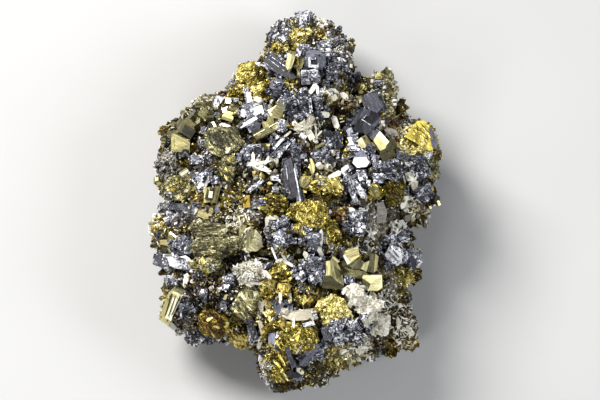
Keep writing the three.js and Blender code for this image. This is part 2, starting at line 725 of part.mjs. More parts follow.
// The origin is the middle of the specimen's box, on the ground

const box = new THREE.Box3().setFromObject(specimen);
const middle = box.getCenter(new THREE.Vector3());
specimen.position.set(-middle.x, -middle.y, -box.min.z);

const part = new THREE.Group();
part.add(specimen);

export default part;
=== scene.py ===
"""Looks of the chalcopyrite specimen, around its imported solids.

Every mass gets its real surface: galena its growth plates, pyrite its striae, chalcopyrite crumpled,
striated facets. Crystals of a few millimetres are set on them over the display face, and thousands of
small ones fill the ground between, all as joined meshes.
Lengths are in millimetres until a mesh is made, and the frame is the CAD's.
"""

import math
from string import ascii_lowercase

import bmesh
import bpy
import numpy as np
from mathutils import Matrix, Vector
from mathutils.bvhtree import BVHTree
from mathutils.kdtree import KDTree

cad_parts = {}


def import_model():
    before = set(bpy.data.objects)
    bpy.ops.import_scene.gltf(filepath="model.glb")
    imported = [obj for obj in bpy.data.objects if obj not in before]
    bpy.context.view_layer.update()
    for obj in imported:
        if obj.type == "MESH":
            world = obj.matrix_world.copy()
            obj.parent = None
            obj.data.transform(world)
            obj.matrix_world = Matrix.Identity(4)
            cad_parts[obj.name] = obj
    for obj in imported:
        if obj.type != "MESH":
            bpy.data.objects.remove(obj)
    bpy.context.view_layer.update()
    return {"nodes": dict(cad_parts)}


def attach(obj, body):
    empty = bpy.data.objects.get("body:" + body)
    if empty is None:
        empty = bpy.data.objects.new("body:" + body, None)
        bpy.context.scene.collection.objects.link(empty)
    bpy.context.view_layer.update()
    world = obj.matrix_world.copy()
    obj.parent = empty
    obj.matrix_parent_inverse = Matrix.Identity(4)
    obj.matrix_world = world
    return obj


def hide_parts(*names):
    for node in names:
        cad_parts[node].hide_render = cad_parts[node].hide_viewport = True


MM = 0.001
SEED = 65
chance = np.random.default_rng(SEED)

# The survey grid over the display face: columns to the right and rows down, as the solids use it
GRID_STEP = 0.25
GRID_CENTRE = (300, 200)
GRID_ORIGIN = Vector((1.312, 8.128, 0))  # where the grid's centre stands on the ground
FACE_ELEVATION = math.radians(65)
FACE = Matrix.Rotation(math.radians(90) - FACE_ELEVATION, 3, "X")  # across, up and out of the face
OUTWARD = FACE.col[2].copy()
FAR_OUT = 200
RAY_START = 0.15  # a ray starts this far off a surface
VIEW_START = 0.3  # and one towards the viewer this far
LEAN = 16  # degrees a crystal may lean from the face it was placed on

# How bright a crystal looks, with painted light and shade: on the metals each face's reflection and shade
# are painted into its tone
DARK = 0.26
MID = 0.5
PALE = 0.78
# FLASH on the metals is a painted mirror flash, and on calcite its own white
FLASH = 0.98
FACE_TONE = 0.1  # how far one crystal's faces differ in tone

# Which mineral grows where no zone is named
PATCHES = 900  # of one mineral each
PATCH_SHARES = {
    "chalcopyrite": 0.32,
    "olive": 0.16,
    "galena": 0.14,
    "sphalerite": 0.1,
    "pyrite": 0.06,
    "calcite": 0.08,
    "quartz": 0.14,
}
STRANGERS = 0.18  # share of a zone's small crystals that are of its patch's mineral instead
ZONE_BLUR = 0.08  # how unevenly a zone's rim runs, as a share of its width
DOMAINS = 260  # of crystals that grew nearly parallel

# Olive is chalcopyrite with a dull green-grey skin, and the tarnish kind is chalcopyrite gone orange,
# also used as darker gold painted where chalcopyrite lies in shade
SLOTS = {"olive": "chalcopyrite", "tarnish": "chalcopyrite"}

# Which nodes wear another skin than their name says
SKINS = {
    "chalcopyrite_olive_flank": "olive",
    "chalcopyrite_olive_mass": "olive",
    "chalcopyrite_striated_dome": "olive",
    "chalcopyrite_lower_left": "tarnish",
    "chalcopyrite_right_edge": "olive",
    "chalcopyrite_peak": "olive",
    "chalcopyrite_left_patch": "olive",
}
# The calcite that has good faces, and the galena that has none
CRISP_CALCITE = ("calcite_star_left", "calcite_star_top", "calcite_flat_blade")
SPONGY_GALENA = (
    "galena_sponge", "galena_collar", "galena_centre", "galena_low_right", "galena_low_centre",
)

MATRIX_VOXEL = 0.55  # how finely the matrix is meshed
LUMP_VOXEL = 0.2  # and the rough masses on it
# Both break into flat facets, first coarse and then fine: the area of one, how far they tilt, how far
# they step out or in, the furthest that a point moves, and how drawn out they are
MATRIX_FACETS = [(9.0, 0.45, 0.5, 1.2, 1.0), (1.8, 0.5, 0.2, 0.7, 1.0)]
CRUMPLED = [(8.0, 0.26, 0.25, 0.6, 1.6), (0.3, 0.42, 0.08, 0.3, 3.0)]
GRANULAR = [(5.0, 0.2, 0.15, 0.5, 1.0), (0.3, 0.35, 0.07, 0.25, 1.0)]
STREAKY = [(6.0, 0.14, 0.1, 0.3, 2.5), (0.25, 0.3, 0.05, 0.2, 3.0)]
JAGGED = [(3.0, 0.5, 0.5, 1.0, 1.0), (0.5, 0.5, 0.15, 0.4, 1.0)]
RECIPES = {
    "olive": STREAKY, "calcite": GRANULAR, "quartz": JAGGED, "sphalerite": JAGGED, "galena": JAGGED,
    "chalcopyrite_heart": GRANULAR, "chalcopyrite_glitter": GRANULAR,
}
LEAST_SLOPE = 0.35  # the cosine to the surface beyond which a facet isn't followed all the way
FEWEST_FACETS = 8  # of a rough mass
FOOT_HEIGHT = 0.4  # below this the matrix stays flat

# The facets' tones, as the two parameters of a beta distribution
ROUGH_TONES = {"chalcopyrite": (1.9, 1.3), "olive": (1.7, 2.0), "calcite": (4.0, 1.6)}
OTHER_TONES = (2.0, 2.2)
TONE_SPREAD = 1.35  # coarse and fine tones averaged lie closer together than either
GROUND_TONES = (2, 3)
BRIGHTEST_GROUND = 0.7
GROUND_METAL = 0.8  # share of a mineral's metal that the ground shows

# Good crystals have bevelled edges, and plates on their flat faces: the ranges of the plates' number,
# length, width and thickness. The length is a share of the face's, and on galena the width is too.
WELD = 0.002  # corners closer than this are one
FLAT_ANGLE = math.radians(2)  # and faces flatter than this against each other
BEVEL = 0.1
PLATE_AREA = 3.0  # a face smaller than this stays plain
GALENA_PLATES = ((2, 6), (0.15, 0.5), (0.1, 0.4), (0.2, 0.7))
PYRITE_PLATES = ((3, 7), (0.7, 0.9), (0.12, 0.4), (0.08, 0.2))
GALENA_REACH = 0.55  # how far from the middle towards a corner a plate may stand
PYRITE_REACH = 0.42  # and how far across the face
PYRITE_LENGTH = 1.25  # only a face at least this much longer than wide has striae
BLOCK_TONE = 0.42  # where NODE_TONES has none
BLOCK_FACE_TONE = 0.22  # how far the faces stray from it
PLATE_TONE = 0.16  # and the plates

# Crystals drawn face by face
ROOT_DEPTH = 3.0  # how far their walls go down
# Walls are painted dark, as painted shade between crystals
WALL_SHADE = 0.5  # a wall's tone over that of the darkest face
CAP_TONE = 0.02  # how far the faces stray from their tones
UNEVEN = 2.0  # the most that the ground under one is taken to rise or fall from its middle
CLEARED = 0.8  # the share of that ground which it clears

# Blocks, bars and grains. A middle's rise off the ground is over the depth, thickness or size.
BLOCK_DEPTH = 0.8  # over its mean width, and to this is added
LEAST_DEPTH = 0.2
BLOCK_RISE = 0.3
BAR_THICKNESS = 0.45  # over its width, and to this is added
LEAST_THICKNESS = 0.25
BAR_RISE = 0.3
BAR_LEAN = 5  # degrees
STEEPEST = 0.6  # a bar's rise from the display face, over its length on it
LUMP_SIDES = (0.75, 1.15)  # over its size
LUMP_RISE = 0.15
LUMP_FACE_TONE = 0.2

# Rosettes, with angles in degrees
STAR_BLADES = (4, 7)  # their number
STAR_LENGTH = (0.7, 1.2)  # over the rosette's longest
STAR_SLOPE = (-0.15, 0.45)  # out of the display face
STAR_WIDTH = (0.1, 0.2)  # over the blade's length
STAR_THICKNESS = (0.2, 0.4)
STAR_MIDDLE = (0.1, 0.35)  # how far out it lies, over the blade's length
STAR_FIRST = 60  # the first blade lies within this angle
STAR_TURN = 47  # from one blade to the next
STAR_HEIGHT = 0.4
STAR_LEAN = 12

# Small crystals
CRYSTALS_PER_PIECE = 4500
GROUND_CRYSTALS = 34000
CRUST_CRYSTALS = 7000  # on the solids that stand on the matrix
CRUST_SHARES = {"pyrite": 0.1, "galena": 0.8}  # fewer on the clean faces of these
CRUST_ALIKE = 0.7  # the share of a solid's crust that is of its own mineral
NEEDLES = 900
# Glints are tiny cubes painted at the flash tone, painted glints
GLINTS = 1800
NEAR_COVER = 1.4  # a small crystal isn't grown where something is closer above it
LOWEST_SPOT = 1.5  # no random place for one is lower
FOOT_CLEARANCE = 0.3  # and none reaches down further
SMALLNESS = 1.8  # the higher, the more of them are near the smallest size
SEATING = (-0.1, 0.3)  # how far one's middle is off the ground, over its size
HALF_HEIGHT = 0.7  # how far one is taken to reach down from its middle, over its size
SMALL_TONES = (1.8, 2.3)  # the two parameters of a beta distribution
# A share of the small crystals is painted near white, as painted glints
FLASH_SHARE = 0.045  # of them are brighter
FLASH_TONES = (0.9, 1.05)
NEEDLE_LENGTH = (0.8, 2.0)
NEEDLE_WIDTH = (0.18, 0.4)
NEEDLE_THICKNESS = (0.12, 0.25)
NEEDLE_TONES = (0.4, 1.0)
NEEDLE_LIFT = 0.4  # how far a needle's random direction is bent out of the ground
NEEDLE_HEIGHT = 0.25
GLINT_SIZES = (0.25, 0.6)
GLINT_SIDES = (0.5, 1)  # over its size
GLINT_HEIGHT = 0.1
GLINT_MINERALS = ("galena", "quartz")

# The lists from here to FIELDS are placed on the survey grid, apart from some places in FIELDS and
# a few in ZONES, which come from the same brightness comparison as the spots further down

# What grows where on the display face: column, row, half width, half height and turn in degrees
ZONES = {
    "galena": [
        (304, 17, 12, 8, 0), (277, 66, 15, 10, 35), (315, 62, 12, 14, 0), (324, 62, 9, 16, 0),
        (311, 77, 14, 9, 0), (277, 90, 9, 9, 0), (205, 180, 12, 10, 0), (252, 110, 14, 12, 0),
        (254, 128, 8, 8, 0), (296, 106, 13, 9, 0), (366, 120, 18, 14, 0), (361, 155, 14, 14, 0),
        (419, 168, 11, 13, 0), (421, 191, 10, 10, 0), (390, 168, 14, 12, 0), (352, 183, 12, 16, 0),
        (253, 160, 14, 13, 0), (281, 150, 12, 12, 0), (292, 184, 9, 26, 0), (331, 146, 9, 12, 0),
        (281, 234, 14, 16, 0), (312, 238, 11, 10, 0), (355, 223, 13, 14, 0), (186, 246, 12, 11, 0),
        (174, 217, 9, 9, 0), (172, 260, 20, 8, 0), (232, 281, 9, 12, 0), (269, 268, 7, 6, 0),
        (312, 270, 15, 13, 0), (395, 250, 13, 14, 0), (411, 259, 9, 12, 0), (188, 306, 12, 7, 0),
        (279, 306, 7, 8, 0), (353, 326, 14, 13, 0), (330, 330, 9, 10, 0), (310, 350, 8, 8, 0),
    ],
    "quartz": [
        (322, 19, 9, 9, 0), (339, 42, 15, 34, 0), (286, 22, 12, 8, 0), (382, 91, 6, 5, 0),
        (169, 163, 15, 15, 0), (388, 133, 7, 6, 0), (384, 214, 17, 14, 0), (374, 234, 14, 8, 0),
        (205, 212, 10, 8, 0), (390, 287, 9, 7, 0), (176, 328, 14, 9, 0), (190, 320, 12, 10, 0),
        (270, 374, 8, 14, 0),
    ],
    "chalcopyrite": [
        (296, 38, 17, 12, 0), (281, 48, 10, 9, 0), (290, 84, 6, 6, 0), (257, 82, 19, 19, 0),
        (227, 172, 11, 10, 0), (294, 122, 9, 7, 0), (419, 138, 21, 20, 0), (373, 193, 8, 8, 0),
        (306, 178, 6, 14, 0), (326, 189, 16, 13, 0), (310, 213, 20, 15, 0), (274, 205, 13, 12, 0),
        (160, 226, 8, 9, 0), (284, 274, 17, 10, 0), (400, 276, 13, 10, 0), (216, 322, 17, 17, 0),
        (242, 336, 12, 12, 0), (290, 326, 24, 8, 0), (333, 309, 22, 16, 0), (296, 339, 24, 12, 15),
        (281, 363, 14, 16, 0), (226, 207, 8, 8, 0), (292, 60, 9, 20, 0), (266, 75, 6, 6, 0),
        (383, 110, 6, 12, 0), (412, 152, 14, 8, 0), (345, 150, 7, 8, 0), (345, 248, 10, 10, 0),
        (270, 318, 12, 14, 0), (290, 291, 18, 10, 0), (238, 322, 8, 12, 0), (322, 364, 26, 14, 0),
        (296, 232, 10, 10, 0), (308, 294, 12, 8, 0), (284, 250, 12, 6, 0), (352, 254, 6, 6, 0),
    ],
    "olive": [
        (300, 65, 6, 13, 0), (236, 95, 12, 10, 0), (384, 76, 9, 8, 0), (362, 92, 8, 12, 0),
        (206, 109, 18, 12, 30), (226, 147, 23, 19, -30), (180, 188, 22, 13, 0), (431, 171, 7, 12, 0),
        (391, 193, 14, 11, 0), (166, 243, 11, 11, 0), (215, 238, 30, 16, 0), (250, 242, 12, 12, 0),
        (208, 264, 19, 10, 0), (288, 252, 27, 8, 0), (316, 290, 16, 6, 0), (248, 301, 15, 18, 0),
        (352, 346, 8, 6, 0), (330, 374, 12, 6, 0), (276, 192, 9, 9, 0), (240, 178, 9, 9, 0),
    ],
    "calcite": [
        (329, 89, 8, 5, 0), (309, 134, 13, 12, 0), (409, 164, 5, 14, 0), (413, 183, 7, 7, 0),
        (327, 166, 8, 7, 0), (250, 273, 16, 12, 0), (285, 261, 11, 6, 0), (262, 318, 4, 26, 0),
        (298, 313, 18, 5, 0), (360, 295, 18, 13, 40), (377, 318, 12, 17, 30), (364, 352, 8, 13, 0),
    ],
    # Some of these sphalerite zones lie in hollows, where this dark mineral also paints their shade
    "sphalerite": [
        (391, 97, 6, 16, 0), (336, 128, 10, 22, 0), (400, 121, 10, 7, 0), (342, 222, 7, 16, 0),
        (400, 222, 9, 12, 0), (229, 260, 7, 10, 0), (195, 285, 28, 15, 0), (402, 322, 18, 27, 0),
        (385, 342, 14, 8, 0), (297, 372, 9, 7, 0), (306, 197, 5, 8, 0), (398, 122, 14, 8, 0),
    ],
    "pyrite": [
        (188, 130, 16, 14, 0), (270, 122, 17, 14, 0), (381, 147, 10, 14, 0), (172, 305, 10, 17, 25),
        (332, 272, 12, 15, 0), (360, 262, 18, 12, 0), (372, 282, 10, 9, 0),
    ],
    "tarnish": [
        (246, 198, 8, 9, 0), (278, 292, 18, 9, 0), (236, 312, 8, 9, 0), (304, 299, 14, 9, 0),
        (262, 180, 14, 12, 0), (345, 100, 9, 14, 0), (342, 115, 7, 9, 0), (280, 282, 12, 10, 0),
    ],
}

# Crystals of the display face that stand out, by mineral and brightness: column, row, width, height, spin
BLOCKS = {
    ("galena", FLASH): [
        (258, 64, 1.2, 1.0, 0), (342, 95, 1.4, 1.4, 0), (265, 115, 1.4, 1.8, 25),
        (219, 102, 2.0, 3.0, -20), (373, 81, 0.8, 1.2, 0), (385, 87, 0.8, 0.8, 0),
        (395, 102, 1.0, 1.6, 0), (202, 110, 0.8, 1.2, 0), (289, 119, 1.2, 0.8, 0),
        (303, 137, 1.8, 1.2, -30), (352, 148, 1.6, 1.4, 0), (364, 179, 1.4, 1.2, 0),
        (368, 182, 1.0, 1.0, 0), (168, 213, 1.0, 1.0, 0), (195, 254, 0.7, 0.7, 0),
        (172, 277, 1.2, 1.0, 0), (236, 100, 1.0, 1.0, 0), (172, 214, 1.4, 1.2, 0),
    ],
    ("galena", PALE): [
        (304, 12, 2.4, 1.6, 10), (303, 19, 2.0, 2.2, 0), (326, 43, 2.6, 2.0, 10),
        (393, 173, 1.8, 2.6, 0), (307, 116, 1.6, 1.4, 45), (282, 126, 2.0, 3.0, -20),
        (188, 250, 1.6, 1.4, 0), (226, 287, 1.4, 1.2, 0), (280, 236, 2.6, 3.0, 24),
        (288, 235, 1.4, 1.2, 0), (300, 275, 2.4, 1.6, 0), (316, 277, 3.0, 1.4, 0),
        (427, 154, 2.4, 1.6, -30), (426, 199, 1.6, 1.4, 0), (276, 178, 2.0, 1.4, 0),
        (304, 73, 1.4, 1.4, 0), (393, 234, 2.2, 2.6, -20),
    ],
    ("galena", MID): [
        (306, 16, 1.4, 1.4, 0), (305, 47, 3.0, 1.6, 0), (299, 54, 1.6, 2.6, -20), (315, 78, 1.8, 1.6, 0),
        (232, 84, 1.6, 2.0, 0), (380, 83, 2.0, 1.6, 0), (218, 117, 2.2, 2.0, 0), (203, 144, 2.2, 2.2, 0),
        (185, 153, 1.8, 1.6, 0), (197, 160, 3.4, 2.4, 0), (217, 180, 1.4, 2.0, 0),
        (168, 195, 2.2, 2.0, 0), (293, 148, 2.0, 1.8, 0), (276, 190, 1.6, 1.6, 0),
        (354, 138, 2.2, 2.6, 0), (362, 173, 2.0, 1.6, 0), (378, 178, 2.6, 2.4, 0),
        (388, 176, 1.8, 1.6, 0), (420, 196, 1.8, 1.8, 0), (405, 191, 1.8, 1.6, 0),
        (421, 173, 1.8, 1.8, 0), (174, 218, 2.2, 2.2, 0), (155, 224, 1.4, 1.4, 0),
        (180, 243, 2.4, 2.8, -24), (189, 246, 1.8, 2.6, 0), (194, 256, 1.4, 1.2, 0),
        (197, 206, 2.6, 2.0, 0), (191, 213, 1.6, 1.4, 0), (213, 267, 1.6, 1.4, 0),
        (170, 281, 1.8, 2.2, 0), (203, 292, 2.4, 1.6, 0), (228, 281, 2.2, 3.0, 0),
        (232, 276, 1.6, 1.4, 0), (256, 205, 1.8, 1.6, 0), (283, 222, 2.6, 1.6, 0),
        (277, 243, 1.6, 1.6, 0), (285, 243, 1.8, 1.6, 0), (304, 231, 1.6, 2.4, -20),
        (309, 236, 1.8, 1.6, 0), (316, 235, 2.6, 1.2, 0), (341, 252, 1.4, 3.0, 0),
        (251, 275, 1.6, 1.6, 0), (302, 267, 1.8, 1.6, 0), (309, 265, 1.6, 1.6, 0),
        (314, 263, 2.0, 3.0, 0), (320, 268, 2.2, 3.0, 0), (304, 288, 2.4, 1.6, 0),
        (404, 236, 3.0, 3.4, 0), (386, 238, 2.0, 1.6, 0), (335, 325, 3.6, 2.8, -20),
        (345, 331, 2.4, 2.0, 30), (352, 322, 2.4, 1.8, 20), (363, 315, 1.8, 1.4, 0),
        (348, 279, 2.6, 2.0, 0), (388, 165, 2.4, 2.0, 20), (374, 160, 2.0, 2.4, -15),
        (224, 305, 1.6, 2.2, 0),
    ],
    ("galena", DARK): [
        (274, 30, 1.8, 2.4, 0), (279, 35, 3.6, 3.0, 24), (284, 38, 2.4, 2.4, 0), (272, 38, 1.6, 2.2, 0),
        (277, 94, 2.2, 2.0, 0), (306, 82, 2.4, 1.6, 0), (330, 75, 2.2, 3.0, 0), (326, 85, 2.0, 1.8, 0),
        (333, 68, 2.0, 3.0, 0), (338, 60, 2.6, 3.4, 6), (344, 58, 1.6, 2.4, 0), (345, 68, 1.6, 2.0, 0),
        (205, 131, 2.0, 1.8, 0), (240, 158, 1.6, 2.4, 0), (298, 157, 2.0, 1.8, 0),
        (369, 152, 2.6, 3.6, -20), (402, 155, 3.0, 2.4, 0), (416, 160, 2.0, 2.0, 0),
        (422, 166, 2.0, 2.0, 0), (416, 175, 2.0, 2.0, 0), (382, 167, 4.4, 1.6, 0),
        (398, 177, 2.0, 1.8, 0), (424, 190, 3.6, 2.6, 0), (159, 235, 1.6, 1.6, 0),
        (196, 277, 1.6, 1.4, 0), (262, 203, 1.8, 1.6, 0), (276, 225, 1.8, 1.6, 0),
        (272, 240, 1.6, 1.6, 0), (290, 241, 3.0, 1.6, 0), (314, 241, 3.0, 2.4, -28),
        (279, 248, 1.8, 1.4, 0), (290, 258, 1.8, 1.4, 0), (270, 266, 2.6, 1.8, 35),
        (312, 278, 1.8, 1.6, 0), (302, 282, 1.8, 1.4, 0), (328, 330, 2.8, 3.4, 20),
        (358, 336, 3.0, 3.0, -34), (187, 306, 3.6, 1.8, 8), (386, 266, 2.0, 2.6, 15),
    ],
    ("pyrite", PALE): [
        (185, 174, 2.6, 2.0, 35), (243, 232, 1.6, 3.4, 0),
    ],
    ("pyrite", MID): [
        (208, 106, 3.0, 2.2, 0), (199, 106, 2.4, 2.0, 0), (213, 98, 2.4, 2.2, 0),
        (204, 113, 2.6, 2.4, -38), (183, 113, 1.6, 1.6, 0), (229, 117, 3.0, 2.4, -20),
        (235, 110, 2.4, 2.2, 0), (163, 141, 1.2, 1.6, 0), (266, 148, 2.4, 2.4, 0),
    ],
    ("pyrite", DARK): [
        (196, 118, 3.4, 3.0, -38), (210, 118, 2.0, 1.8, 0), (386, 165, 2.0, 1.8, 0),
        (165, 249, 1.6, 1.4, 0),
    ],
}
